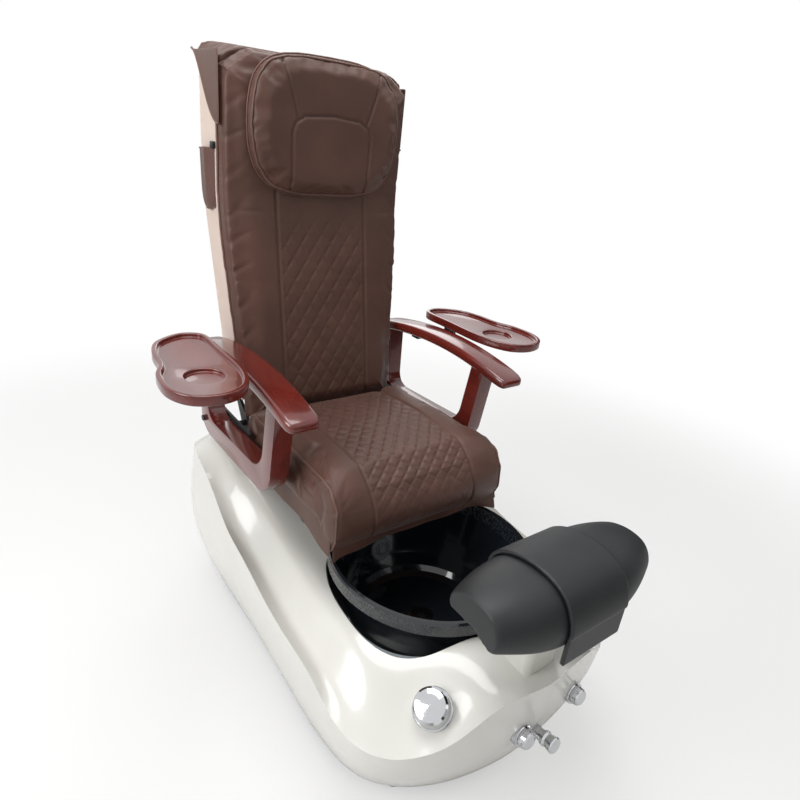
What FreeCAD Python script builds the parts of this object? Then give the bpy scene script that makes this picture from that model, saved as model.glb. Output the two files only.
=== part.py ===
import FreeCAD, Part
import math
import os
import Sketcher

from FreeCAD import Placement, Rotation, Vector

# Pedicure spa chair: a moulded tub base with a foot bowl, a sliding upholstered seat,
# a reclining massage back, lift-up arms with swivelling trays and a padded footrest.
# Units are millimetres. +X is the sitter's left, -Y is the way the sitter faces, +Z is up.
# While it is built, the bowl's axis is the Z axis and the floor is Z = 0. The pieces are
# written with the origin moved to the middle of the footprint, on the floor.

document = FreeCAD.newDocument("PedicureSpaChair")
sheet = document.addObject("Spreadsheet::Sheet", "Sizes")

DRIVING_SIZES = [
    # moulded base
    ("base_width", 724), ("base_front", 392), ("base_rear", 812), ("base_lift", 12),
    ("shell_wall", 6), ("deck_front", 360), ("deck_lobe", 262), ("deck_bowl", 343),
    ("deck_well", 412), ("hump_height", 474), ("groove_depth", 26), ("well_half", 196),
    ("well_front", 262), ("well_rear", 596),
    # foot bowl
    ("rim_height", 409), ("rim_radius", 241), ("rim_band", 38), ("rim_lip", 9),
    ("bowl_floor", 195), ("bowl_taper", 89), ("bowl_wall", 5), ("mouth_gap", 3),
    ("surround_wall", 4), ("surround_depth", 116), ("drain_radius", 23), ("jet_height", 270),
    ("jet_bore", 21), ("jet_radius", 31),
    # steel frame
    ("frame_tube", 40), ("frame_half", 200), ("frame_front", 215), ("frame_rear", 660),
    ("foot_radius", 24), ("pedestal_half", 150), ("rail_gauge", 168), ("rail_width", 26),
    ("rail_height", 14), ("rail_front", 235), ("rail_length", 350),
    # seat
    ("seat_half", 250), ("seat_front", 32), ("seat_depth", 488), ("seat_top", 603),
    ("seat_underside", 490), ("seat_nose", 428), ("board_thickness", 12), ("seat_tube", 20),
    ("seat_frame_half", 205), ("clearance", 0.3), ("flap_drop", 62), ("flap_thickness", 3),
    # back
    ("recline_y", 560), ("recline_z", 520), ("back_half_low", 235), ("back_half_high", 264),
    ("back_low", 575), ("back_top", 1424), ("back_front", 510), ("back_lean", 90),
    ("back_pad", 44), ("back_depth", 174), ("back_wall", 4), ("pin_radius", 8),
    ("pin_play", 0.05), ("pillow_half", 200), ("pillow_drop", 10), ("pillow_height", 302),
    ("pillow_thickness", 50), ("rod_radius", 9), ("rod_gauge", 70), ("roller_radius", 20),
    # arms and trays
    ("arm_play", 2), ("arm_width", 76), ("loop_width", 45), ("arm_front", 100),
    ("arm_rear", 660), ("arm_top", 777), ("arm_thickness", 28), ("loop_front", 178),
    ("loop_rear", 606), ("loop_low", 503), ("loop_bar", 46), ("tray_thickness", 22),
    ("tray_floor", 9), ("tray_lip", 11), ("cup_radius", 40), ("cup_depth", 8),
    ("cup_out", 165), ("cup_y", 300), ("tray_pivot_out", 148), ("tray_pivot_y", 480),
    # footrest
    ("column_half", 48), ("column_front", 352), ("column_depth", 84), ("column_top", 470),
    ("post_radius", 17), ("footrest_y", 330), ("footrest_half", 232), ("footrest_top", 632),
    ("footrest_depth", 190), ("footrest_drop", 112), ("saddle_half", 78), ("saddle_skin", 9),
    # fittings
    ("mixer_radius", 36), ("mixer_height", 30), ("knob_radius", 19), ("knob_height", 16),
    ("plate_thickness", 3), ("spindle_radius", 5), ("sprayer_radius", 12),
]
for line, (alias, number) in enumerate(DRIVING_SIZES, start=1):
    sheet.set(f"A{line}", alias.replace("_", " "))
    sheet.set(f"B{line}", str(number))
    sheet.setAlias(f"B{line}", alias)
document.recompute()


class Size:
    """A length with the spreadsheet expression that it comes from."""

    def __init__(self, number, text):
        self.number = float(number)
        self.text = text

    def _join(self, other, sign, number, swap=False):
        other_text = other.text if isinstance(other, Size) else f"({float(other)})"
        first, second = (other_text, self.text) if swap else (self.text, other_text)
        return Size(number, f"({first} {sign} {second})")

    def __float__(self):
        return self.number

    def __add__(self, other):
        return self._join(other, "+", self.number + float(other))

    def __radd__(self, other):
        return self._join(other, "+", float(other) + self.number, swap=True)

    def __sub__(self, other):
        return self._join(other, "-", self.number - float(other))

    def __rsub__(self, other):
        return self._join(other, "-", float(other) - self.number, swap=True)

    def __mul__(self, other):
        return self._join(other, "*", self.number * float(other))

    def __rmul__(self, other):
        return self._join(other, "*", float(other) * self.number, swap=True)

    def __truediv__(self, other):
        return self._join(other, "/", self.number / float(other))

    def __neg__(self):
        return Size(-self.number, f"(0 - {self.text})")


class Sizes:
    """Reads the spreadsheet: an attribute is the cell with that alias."""

    def __getattr__(self, alias):
        return Size(float(sheet.get(alias)), f"Sizes.{alias}")


s = Sizes()
arm_inner = s.seat_half + s.arm_play
cup_x = arm_inner + s.cup_out
tray_pivot_x = arm_inner + s.tray_pivot_out
pillow_high = s.back_top - s.pillow_drop
pillow_low = pillow_high - s.pillow_height
bowl_foot = s.rim_radius - s.bowl_taper


# ---------------------------------------------------------------- helpers

def bind(item, **properties):
    """Sets properties, each by its expression where it is a Size."""
    for name, value in properties.items():
        path = name.replace("__", ".")
        if isinstance(value, Size):
            item.setExpression(path, value.text)
        else:
            setattr(item, name, value)
    return item


def put(item, x=0.0, y=0.0, z=0.0, turn=None):
    """Places an object, with each coordinate bound to its expression."""
    item.Placement = Placement(Vector(float(x), float(y), float(z)), turn or Rotation())
    for axis, value in (("x", x), ("y", y), ("z", z)):
        if isinstance(value, Size):
            item.setExpression(f"Placement.Base.{axis}", value.text)
    return item


def add(kind, label):
    item = document.addObject(kind, label.title().replace("_", ""))
    item.Label = label
    return item


def box(label, x, y, z, length, width, height):
    """A block from its lowest corner."""
    block = bind(add("Part::Box", label), Length=length, Width=width, Height=height)
    return put(block, x, y, z)


def rod(label, x, y, z, radius, height, turn=None):
    """A cylinder from the centre of its first end."""
    bar = bind(add("Part::Cylinder", label), Radius=radius, Height=height)
    return put(bar, x, y, z, turn)


def fuse(label, *pieces):
    return bind(add("Part::MultiFuse", label), Shapes=list(pieces))


def cut(label, base, *tools):
    result = base
    for index, tool in enumerate(tools):
        last = index == len(tools) - 1
        result = bind(add("Part::Cut", label if last else f"{label}_cut{index}"), Base=result, Tool=tool)
    return result


def group(label, *pieces):
    return bind(add("Part::Compound", label), Links=list(pieces))


def mirror(label, source):
    return bind(add("Part::Mirroring", label), Source=source, Base=Vector(0, 0, 0), Normal=Vector(1, 0, 0))


def solid(label, shape):
    item = add("Part::Feature", label)
    item.Shape = shape
    return item


def body(label):
    return add("PartDesign::Body", label)


def plane_of(owner, role):
    return next(part for part in owner.Origin.OriginFeatures if part.Role == role)


def sketch(owner, role, geometry, offset=0.0):
    """A sketch on one of the body's own origin planes, moved along its normal."""
    drawing = owner.newObject("Sketcher::SketchObject", "Profile")
    drawing.AttachmentSupport = (plane_of(owner, role), [""])
    drawing.MapMode = "FlatFace"
    drawing.AttachmentOffset = Placement(Vector(0, 0, float(offset)), Rotation())
    if isinstance(offset, Size):
        drawing.setExpression("AttachmentOffset.Base.z", offset.text)
    geometry(drawing)
    return drawing


def polygon(*points):
    """A closed outline whose corners are bound to their two expressions."""
    def draw(drawing):
        count = len(points)
        spots = [Vector(float(u), float(v), 0) for u, v in points]
        for index in range(count):
            drawing.addGeometry(Part.LineSegment(spots[index], spots[(index + 1) % count]))
        for index in range(count):
            drawing.addConstraint(Sketcher.Constraint("Coincident", index, 2, (index + 1) % count, 1))
        for index, corner in enumerate(points):
            for kind, value in zip(("DistanceX", "DistanceY"), corner):
                number = drawing.addConstraint(
                    Sketcher.Constraint(kind, -1, 1, index, 1, float(value)))
                if isinstance(value, Size):
                    drawing.setExpression(f"Constraints[{number}]", value.text)
    return draw


def circle(u, v, radius):
    def draw(drawing):
        drawing.addGeometry(Part.Circle(Vector(float(u), float(v), 0), Vector(0, 0, 1), float(radius)))
        for kind, value in (("DistanceX", u), ("DistanceY", v)):
            number = drawing.addConstraint(Sketcher.Constraint(kind, -1, 1, 0, 3, float(value)))
            if isinstance(value, Size):
                drawing.setExpression(f"Constraints[{number}]", value.text)
        number = drawing.addConstraint(Sketcher.Constraint("Radius", 0, float(radius)))
        if isinstance(radius, Size):
            drawing.setExpression(f"Constraints[{number}]", radius.text)
    return draw


def curve(*points):
    """A smooth closed outline through its points."""
    def draw(drawing):
        spline = Part.BSplineCurve()
        spline.interpolate([Vector(float(u), float(v), 0) for u, v in points], PeriodicFlag=True)
        drawing.addGeometry(spline)
    return draw


def pad(owner, profile, length, reverse=False):
    feature = owner.newObject("PartDesign::Pad", "Pad")
    return bind(feature, Profile=profile, Length=length, Reversed=reverse)


def pocket(owner, profile, length, reverse=False):
    feature = owner.newObject("PartDesign::Pocket", "Pocket")
    return bind(feature, Profile=profile, Length=length, Reversed=reverse)


def revolve(owner, profile):
    feature = owner.newObject("PartDesign::Revolution", "Revolution")
    return bind(feature, Profile=profile, ReferenceAxis=(profile, ["V_Axis"]), Angle=360.0)


def around(owner, original, count):
    """A pattern of one feature round the body's Z axis."""
    axis = next(part for part in owner.Origin.OriginFeatures if part.Role == "Z_Axis")
    pattern = owner.newObject("PartDesign::PolarPattern", "Pattern")
    bind(pattern, Originals=[original], Axis=(axis, [""]), Angle=360.0, Occurrences=count)
    owner.Tip = pattern
    return pattern


def fillet(owner, radius, chosen):
    """Rounds the edges of the body's last feature that a test picks."""
    document.recompute()
    tip = owner.Tip
    names = [f"Edge{n}" for n, edge in enumerate(tip.Shape.Edges, start=1) if chosen(edge)]
    feature = owner.newObject("PartDesign::Fillet", "Fillet")
    return bind(feature, Base=(tip, names), Radius=float(radius))


def along(axis):
    """Picks straight edges that run along an axis."""
    def test(edge):
        if not isinstance(edge.Curve, Part.Line):
            return False
        return abs(edge.Curve.Direction.dot(axis)) > 0.999
    return test


def closed_spline(points):
    spline = Part.BSplineCurve()
    spline.interpolate([Vector(*point) for point in points], PeriodicFlag=True)
    return Part.Wire([spline.toShape()])


def both_sides(half, level):
    """Mirrors the points of a half outline, from its front to its rear."""
    inner = [(x, y) for x, y in half if x > 0]
    front, rear = half[0], half[-1]
    loop = [front] + inner + [rear] + [(-x, y) for x, y in reversed(inner)]
    return [(x, y, level) for x, y in loop]


def rounded_block(half, front, rear, level, corner, front_corner=None):
    """A level rectangle with rounded corners as a wire; its front corners can differ."""
    face = Part.makePlane(2 * half, rear - front, Vector(-half, front, level))
    wire = face.OuterWire
    points = [vertex.Point for vertex in wire.OrderedVertexes]
    edges = []
    count = len(points)
    for index in range(count):
        here, before, after = points[index], points[index - 1], points[(index + 1) % count]
        radius = front_corner if front_corner and here.y < (front + rear) / 2 else corner
        start = here + (before - here).normalize() * radius
        end = here + (after - here).normalize() * radius
        middle = here + ((before - here).normalize() + (after - here).normalize()) * radius * (1 - math.sqrt(0.5))
        edges.append((start, middle, end))
    parts = []
    for index, (start, middle, end) in enumerate(edges):
        parts.append(Part.Arc(start, middle, end).toShape())
        parts.append(Part.makeLine(end, edges[(index + 1) % count][0]))
    return Part.Wire(parts)


# ---------------------------------------------------------------- moulded base

WIDTH = float(s.base_width) / 2
FRONT = float(s.base_front)
REAR = float(s.base_rear)
LIFT = float(s.base_lift)


# How far the hull draws in at the floor, and at the top of its hump.
TUCK_RISE = 240
SIDE_TUCK = 70
FRONT_TUCK = 88
REAR_TUCK = 44
SHOULDER_LEVEL = 300
SHOULDER_RISE = 260
SIDE_LEAN = 22
REAR_LEAN = 24
NOSE_SET = 14


def plan(level, inset=0.0):
    """The hull's outline at one level. It draws in towards the floor and a little at the top."""
    low = min(max((level - LIFT) / TUCK_RISE, 0.0), 1.0)
    tuck = (1 - low) ** 1.6
    high = min(max((level - SHOULDER_LEVEL) / SHOULDER_RISE, 0.0), 1.0)
    side = WIDTH - SIDE_TUCK * tuck - SIDE_LEAN * high - inset
    front = FRONT - FRONT_TUCK * tuck - NOSE_SET * (1 - min(high * 5, 1.0)) - inset
    rear = REAR - REAR_TUCK * tuck - REAR_LEAN * high - inset
    half = [(0, -front), (0.33 * side, -front + 12), (0.66 * side, -front + 44 + 10 * tuck),
            (0.92 * side, -front + 118 + 12 * tuck), (side, -0.28 * front), (side, 0.18 * rear),
            (side, 0.55 * rear), (0.94 * side, 0.82 * rear), (0.70 * side, 0.96 * rear),
            (0.34 * side, rear - 4), (0, rear)]
    return closed_spline(both_sides(half, level))


def hull(inset, floor):
    """The outside of the base without its deck, as a tall solid."""
    levels = [floor, 90, 170, 255, 320, 380, 600]
    return Part.makeLoft([plan(level, inset) for level in levels], True, False)


def deck_rows():
    """Deck heights across the base: each row is y, then the height at each of the stations."""
    flat, lobe, bowl, well, hump = (float(value) for value in (
        s.deck_front, s.deck_lobe, s.deck_bowl, s.deck_well, s.hump_height))
    groove = float(s.groove_depth)
    edge = lobe - 20
    return [
        (-FRONT - 70, [flat, flat - 2, lobe + 38, lobe, lobe - 10, edge, edge - 26]),
        (-0.92 * FRONT, [flat, flat - 2, lobe + 40, lobe + 2, lobe - 8, edge, edge - 24]),
        (-0.71 * FRONT, [flat, flat - 2, lobe + 46, lobe + 10, lobe - 4, edge + 4, edge - 20]),
        (-0.51 * FRONT, [flat, flat - 2, bowl - 8, bowl - 38, bowl - 56, edge + 20, edge]),
        (-0.26 * FRONT, [bowl, bowl, bowl, bowl - 8, bowl - 8 - groove, edge + 42, edge + 16]),
        (20, [bowl, bowl, bowl, bowl - 6, bowl - 6 - groove, edge + 48, edge + 24]),
        (120, [bowl + 8, bowl + 8, bowl + 8, bowl + 3, bowl + 3 - groove, edge + 58, edge + 34]),
        (250, [bowl + 28, bowl + 28, bowl + 28, bowl + 24, bowl + 24 - groove, edge + 82, edge + 58]),
        (350, [well - 16, well - 16, well - 14, well - 14, well - 36, edge + 108, edge + 78]),
        (430, [well, well, well + 8, hump - 40, hump - 54, hump - 82, hump - 124]),
        (550, [well + 6, well + 8, well + 26, hump, hump - 8, hump - 36, hump - 86]),
        (660, [well + 28, well + 30, well + 38, hump - 20, hump - 30, hump - 58, hump - 106]),
        (0.925 * REAR, [well + 2, well, well - 4, hump - 84, hump - 100, hump - 126, hump - 174]),
        (REAR + 40, [hump - 146, hump - 148, hump - 156, hump - 176, hump - 196, hump - 226, hump - 266]),
    ]


STATIONS = [0.0, 0.345, 0.552, 0.746, 0.83, 0.955, 1.13]


def under_deck(drop):
    """Everything below the deck surface, which is lowered by drop."""
    grid = []
    for y, heights in deck_rows():
        right = [Vector(station * WIDTH, y, height - drop) for station, height in zip(STATIONS, heights)]
        left = [Vector(-point.x, point.y, point.z) for point in reversed(right[1:])]
        grid.append(left + right)
    surface = Part.BSplineSurface()
    surface.interpolate(grid)
    below = Part.Solid(surface.toShape().extrude(Vector(0, 0, -900)))
    if below.Volume < 0:
        below.reverse()
    return below


def mouth(gap, level_low, level_high):
    """The opening in the deck round the bowl, widened or narrowed by gap."""
    ring = [(270, 230), (250, 237), (233, 258), (216, 271), (201, 263), (186, 247), (168, 241),
            (140, 240), (115, 243), (90, 245)]
    scale = float(s.rim_radius) / 241.0
    half = [(math.cos(math.radians(180 - angle)) * (radius * scale + gap),
             math.sin(math.radians(angle)) * (radius * scale + gap)) for angle, radius in ring]
    wire = closed_spline(both_sides([(abs(x) if abs(x) > 1e-6 else 0, y) for x, y in half], level_low))
    return Part.Face(wire).extrude(Vector(0, 0, level_high - level_low))


def drilled(shape, centre, direction, radius, length=80):
    """A shape with a round hole through it, centred on a point."""
    axis = Vector(*direction).normalize()
    start = Vector(*centre) - axis * (length / 2)
    return shape.cut(Part.makeCylinder(radius, length, start, axis))


# Places and directions of the fittings on the base: the mixer on the sitter's right lobe,
# and two knobs and the sprayer on the front face.
MIXER = (-198, -0.705 * FRONT, 292)
MIXER_AXIS = (-0.50, -0.24, 0.83)
FRONT_AXIS = (0, -0.985, 0.174)
FRONT_FACE_Y = 0.945 * FRONT
LEFT_KNOB = (-52, -FRONT_FACE_Y, 238)
RIGHT_KNOB = (112, -FRONT_FACE_Y + 6, 244)
SPRAYER = (-2, -FRONT_FACE_Y + 3, 214)
INLET_LEVEL = 110
INLET_RADIUS = 16
gap = float(s.clearance)
post_y = float(s.footrest_y) - 22

wall = float(s.shell_wall)
outside = hull(0, LIFT).common(under_deck(0))
inside = hull(wall, LIFT - 40).common(under_deck(wall))
shell = outside.cut(inside)
shell = shell.cut(mouth(float(s.mouth_gap), 150, 460))
well_cut = Part.makeBox(2 * float(s.well_half), float(s.well_rear - s.well_front), 200,
                        Vector(-float(s.well_half), float(s.well_front), 330))
shell = shell.cut(well_cut)
for spot, axis in ((MIXER, MIXER_AXIS), (LEFT_KNOB, FRONT_AXIS), (RIGHT_KNOB, FRONT_AXIS)):
    shell = drilled(shell, spot, axis, float(s.spindle_radius) + gap)
shell = drilled(shell, SPRAYER, FRONT_AXIS, float(s.sprayer_radius) + 1.0)
shell = drilled(shell, (0, REAR - 20, INLET_LEVEL), (0, 1, 0), INLET_RADIUS + gap)
shell = drilled(shell, (0, -post_y, float(s.deck_front)), (0, 0, 1), float(s.post_radius) + 1.0)
solid("base_shell", shell)

# The surround hangs in the deck's opening and its floor carries the bowl at a conical seat.
surround_top = float(s.deck_bowl) - 2
surround_low = surround_top - float(s.surround_depth)
surround_wall = float(s.surround_wall)


def bowl_outside(level):
    """The bowl's outer radius at one height."""
    low, high = float(s.bowl_floor) + 18, float(s.rim_height) - float(s.rim_band)
    foot = float(bowl_foot) + 27
    brim = float(s.rim_radius) - 15
    share = min(max((level - low) / (high - low), 0), 1)
    return foot + (brim - foot) * share ** 0.82


surround_fit = float(s.mouth_gap) - gap
surround = mouth(surround_fit, surround_low, surround_top)
surround = surround.cut(mouth(surround_fit - surround_wall, surround_low + surround_wall, surround_top + 1))
seat_radius = bowl_outside(surround_low + surround_wall) + gap
surround = surround.cut(Part.makeCylinder(seat_radius, 40, Vector(0, 0, surround_low - 20)))
surround = drilled(surround, (0, float(s.rim_radius), float(s.jet_height)), (0, 1, 0), float(s.jet_bore), 60)
solid("bowl_surround", surround)


def bowl_profile():
    """Half of the bowl's section, from the middle of the floor out to the rim and back."""
    floor, thick = float(s.bowl_floor), float(s.bowl_wall)
    top, band, outer = float(s.rim_height), float(s.rim_band), float(s.rim_radius)
    foot, lip = float(bowl_foot), float(s.rim_lip)
    levels = [floor + 18 + step * (top - band - floor - 18) / 5 for step in range(6)]
    wall_out = [(bowl_outside(level), level) for level in levels]
    wall_in = [(radius - thick, level) for radius, level in wall_out]
    under = [(0, floor - thick), (foot, floor - thick), (foot + 18, floor + 2)]
    rim = [(outer - 5, top - band), (outer, top - band + 5), (outer, top - 7), (outer - 3, top - 1),
           (outer - lip, top), (outer - lip - 3, top - 3)]
    bottom = [(foot + 12, floor + 6), (foot - 6, floor), (0, floor)]
    return under + wall_out + rim + list(reversed(wall_in)) + bottom


bowl = body("foot_bowl")
revolve(bowl, sketch(bowl, "XZ_Plane", polygon(*bowl_profile())))
pocket(bowl, sketch(bowl, "XY_Plane", circle(0, 0, s.drain_radius), s.bowl_floor + 5), s.bowl_wall + 20)
jet_bore = sketch(bowl, "XZ_Plane", circle(0, s.jet_height, s.jet_bore), 0)
pocket(bowl, jet_bore, s.rim_radius + 20, reverse=False)

strainer = body("drain_strainer")
flange_z = s.bowl_floor + 0.3
revolve(strainer, sketch(strainer, "XZ_Plane", polygon(
    (0, flange_z + 3), (0, s.bowl_floor - 22), (s.drain_radius - 1, s.bowl_floor - 22),
    (s.drain_radius - 1, flange_z), (s.drain_radius + 9, flange_z), (s.drain_radius + 7, flange_z + 3))))
hole = pocket(strainer, sketch(strainer, "XY_Plane", circle(s.drain_radius * 0.62, 0, 2.6),
                               s.bowl_floor + 8), 60)
around(strainer, hole, 8)

DRAIN_DROP = 70
DRAIN_RUN = 420
pipe_radius = s.drain_radius - 4
drain_level = s.bowl_floor - 22.3
drop = rod("drain_drop", 0, 0, drain_level - DRAIN_DROP, pipe_radius, DRAIN_DROP)
run = rod("drain_run", 0, 0, drain_level - DRAIN_DROP, pipe_radius, DRAIN_RUN, Rotation(Vector(1, 0, 0), -90))
knee = bind(add("Part::Sphere", "drain_knee"), Radius=pipe_radius)
put(knee, 0, 0, drain_level - DRAIN_DROP)
fuse("drain_pipe", drop, run, knee)

# The whirlpool jet: its cover is on the bowl's inner wall and its motor is behind the wall.
jet_wall_y = bowl_outside(float(s.jet_height)) - float(s.bowl_wall)
slope = (bowl_outside(float(s.jet_height) + 20) - bowl_outside(float(s.jet_height) - 20)) / 40
jet_tilt = math.degrees(math.atan(slope))
jet_turn = Rotation(Vector(1, 0, 0), 90 - jet_tilt)
jet = body("jet_cover")
revolve(jet, sketch(jet, "XZ_Plane", polygon(
    (0, 9), (0, 4), (9, 3), (s.jet_radius - 9, 1), (s.jet_radius, 1), (s.jet_radius, 5),
    (s.jet_radius - 3, 8), (s.jet_radius - 8, 8), (s.jet_radius - 10, 4), (12, 5), (9, 9))))
slot = pocket(jet, sketch(jet, "XY_Plane", circle(s.jet_radius - 15, 0, 2.2), 12), 30)
around(jet, slot, 12)
put(jet, 0, jet_wall_y - 2.2, s.jet_height, jet_turn)
motor_y = s.rim_radius + 14
backward = Rotation(Vector(1, 0, 0), -90)
motor_body = rod("jet_motor_body", 0, motor_y, s.jet_height, 42, 96, backward)
motor_neck = rod("jet_motor_neck", 0, jet_wall_y + 9, s.jet_height, s.jet_bore - gap,
                 motor_y - jet_wall_y - 8, backward)
fuse("jet_motor", motor_body, motor_neck)

# ---------------------------------------------------------------- steel frame inside the base

tube = s.frame_tube
frame_low = s.base_lift + 8
frame_rails = [box(f"frame_side{side}", side * s.frame_half - tube / 2, -s.frame_front, frame_low,
                   tube, s.frame_front + s.frame_rear, tube) for side in (-1, 1)]
frame_crosses = [box(f"frame_cross{index}", -s.frame_half, place_y, frame_low, 2 * s.frame_half, tube, tube)
                 for index, place_y in enumerate((-s.frame_front, s.well_front + 20, s.frame_rear - tube))]
fuse("base_frame", *frame_rails, *frame_crosses)

feet = []
for side in (-1, 1):
    for end, place_y in enumerate((-s.frame_front + tube / 2, s.frame_rear - tube / 2)):
        name = f"foot{side}{end}"
        pad_disc = rod(name + "_disc", side * s.frame_half, place_y, 0, s.foot_radius, s.base_lift - 2)
        stem = rod(name + "_stem", side * s.frame_half, place_y, s.base_lift - 3, 6, 11)
        feet.append(fuse(name, pad_disc, stem))
group("levelling_feet", *feet)

rail_top = float(s.seat_underside) - float(s.board_thickness) - float(s.seat_tube) - float(s.rail_height) - gap
pedestal_top = rail_top - float(s.rail_height)
posts = [box(f"post{side}{end}", side * s.pedestal_half - tube / 2, place_y, frame_low + tube, tube, tube,
             pedestal_top - 6 - float(frame_low + tube))
         for side in (-1, 1) for end, place_y in enumerate((s.well_front + 20, s.well_rear - 60))]
pedestal_plate = box("pedestal_plate", -s.rail_gauge - s.rail_width / 2, s.rail_front, pedestal_top - 6,
                     2 * s.rail_gauge + s.rail_width, s.rail_length, 6)
fuse("seat_pedestal", *posts, pedestal_plate)
fixed_rails = [box(f"fixed_rail{side}", side * s.rail_gauge - s.rail_width / 2, s.rail_front, pedestal_top,
                   s.rail_width, s.rail_length, s.rail_height) for side in (-1, 1)]
group("slide_rails", *fixed_rails)

screw_bar = rod("screw_bar", 0, s.rail_front + 40, pedestal_top + 20, 7, s.rail_length - 90,
                Rotation(Vector(1, 0, 0), -90))
screw_block = box("screw_block", -22, s.rail_front + s.rail_length - 62, pedestal_top, 44, 60, 34)
fuse("slide_drive", screw_bar, screw_block)

control = box("control_case", -120, s.frame_rear - 130, frame_low + tube, 110, 110, 70)
cut("control_box", control, rod("control_gland", -65, s.frame_rear - 40, frame_low + tube + 30, 8, 30,
                                backward))

# ---------------------------------------------------------------- fittings on the base


def facing(direction):
    """The turn that points a piece's own Z axis along a direction."""
    return Rotation(Vector(0, 0, 1), Vector(*direction))


def seat_on_shell(spot, direction, radius):
    """The point on a fitting's axis that is level with the highest part of the shell under it."""
    axis = Vector(*direction).normalize()
    centre = Vector(*spot)
    core = Part.makeCylinder(radius, 300, centre - axis * 150, axis).common(outside)
    height = max(point.dot(axis) for point in core.tessellate(0.3)[0])
    return tuple(centre + axis * (height - centre.dot(axis)))


hull_form = solid("hull_form", outside)
inlet_y = seat_on_shell((0, REAR - 20, INLET_LEVEL), (0, 1, 0), INLET_RADIUS + 10)[1]
inlet_flange = rod("inlet_flange", 0, inlet_y - 6, INLET_LEVEL, INLET_RADIUS + 10, 10, backward)
inlet_shell = rod("inlet_shell", 0, inlet_y - 38, INLET_LEVEL, INLET_RADIUS, 40, backward)
inlet_bore = rod("inlet_bore", 0, inlet_y - 28, INLET_LEVEL, INLET_RADIUS - 5, 60, backward)
inlet_trim = cut("inlet_trim", inlet_flange, hull_form)
cut("power_inlet", fuse("inlet_plug", inlet_trim, inlet_shell), inlet_bore)


PLATE_SKIRT = 16
VALVE_SETBACK = 18
SPINDLE_REACH = 12


def escutcheon(label, spot, direction, radius):
    """The round plate under a knob, shaped to the shell below, with the bore for its spindle."""
    plate = body(f"{label}_blank")
    revolve(plate, sketch(plate, "XZ_Plane", polygon(
        (s.spindle_radius + 0.5, -PLATE_SKIRT), (radius, -PLATE_SKIRT), (radius, s.plate_thickness - 1),
        (radius - 1, s.plate_thickness), (s.spindle_radius + 0.5, s.plate_thickness))))
    put(plate, *spot, facing(direction))
    return cut(label, plate, hull_form)


def valve(label, spot, direction, reach):
    """The valve body behind the shell, with the spindle that the knob turns on."""
    turn = facing(direction)
    setback = wall + VALVE_SETBACK + reach
    back = Vector(*spot) - Vector(*direction).normalize() * setback
    block = rod(label + "_block", back.x, back.y, back.z, 18, reach, turn)
    neck = rod(label + "_neck", back.x, back.y, back.z, s.spindle_radius, setback + SPINDLE_REACH, turn)
    return fuse(label, block, neck)


def knob(label, spot, direction, radius, height, grips, domed):
    """A turned knob with a blind bore for its spindle and finger grips round its skirt."""
    piece = body(label)
    base = s.plate_thickness + 0.4
    top = base + height
    dome = [(0, top + 4), (radius * 0.55, top + 2)] if domed else [(0, top), (radius * 0.55, top)]
    revolve(piece, sketch(piece, "XZ_Plane", polygon(
        (0, base + 10), (s.spindle_radius + 0.05, base + 10), (s.spindle_radius + 0.05, base), (radius, base),
        (radius, base + 5), (radius * 0.92, top - 3), (radius * 0.80, top), dome[1], dome[0])))
    notch = pocket(piece, sketch(piece, "XY_Plane", circle(radius * 1.18, 0, radius * 0.32), top + 20),
                   height + 12)
    around(piece, notch, grips)
    return put(piece, *spot, facing(direction))


mixer_plate_radius = s.mixer_radius + 3
knob_plate_radius = s.knob_radius + 4
collar_radius = s.sprayer_radius + 9
MIXER_SEAT = seat_on_shell(MIXER, MIXER_AXIS, float(mixer_plate_radius))
LEFT_SEAT = seat_on_shell(LEFT_KNOB, FRONT_AXIS, float(knob_plate_radius))
RIGHT_SEAT = seat_on_shell(RIGHT_KNOB, FRONT_AXIS, float(knob_plate_radius))
SPRAYER_SEAT = seat_on_shell(SPRAYER, FRONT_AXIS, float(collar_radius))
for label, spot, direction in (("mixer_knob", MIXER_SEAT, MIXER_AXIS), ("drain_knob", LEFT_SEAT, FRONT_AXIS),
                               ("air_knob", RIGHT_SEAT, FRONT_AXIS), ("sprayer", SPRAYER_SEAT, FRONT_AXIS)):
    print(label, "seat", [round(value, 2) for value in spot], direction)
escutcheon("mixer_plate", MIXER_SEAT, MIXER_AXIS, mixer_plate_radius)
knob("mixer_knob", MIXER_SEAT, MIXER_AXIS, s.mixer_radius, s.mixer_height, 2, True)
valve("mixer_valve", MIXER_SEAT, MIXER_AXIS, 40)
escutcheon("drain_plate", LEFT_SEAT, FRONT_AXIS, knob_plate_radius)
knob("drain_knob", LEFT_SEAT, FRONT_AXIS, s.knob_radius, s.knob_height, 6, False)
valve("drain_valve", LEFT_SEAT, FRONT_AXIS, 30)
escutcheon("air_plate", RIGHT_SEAT, FRONT_AXIS, knob_plate_radius)
knob("air_knob", RIGHT_SEAT, FRONT_AXIS, s.knob_radius, s.knob_height, 6, False)
valve("air_valve", RIGHT_SEAT, FRONT_AXIS, 30)

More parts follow.
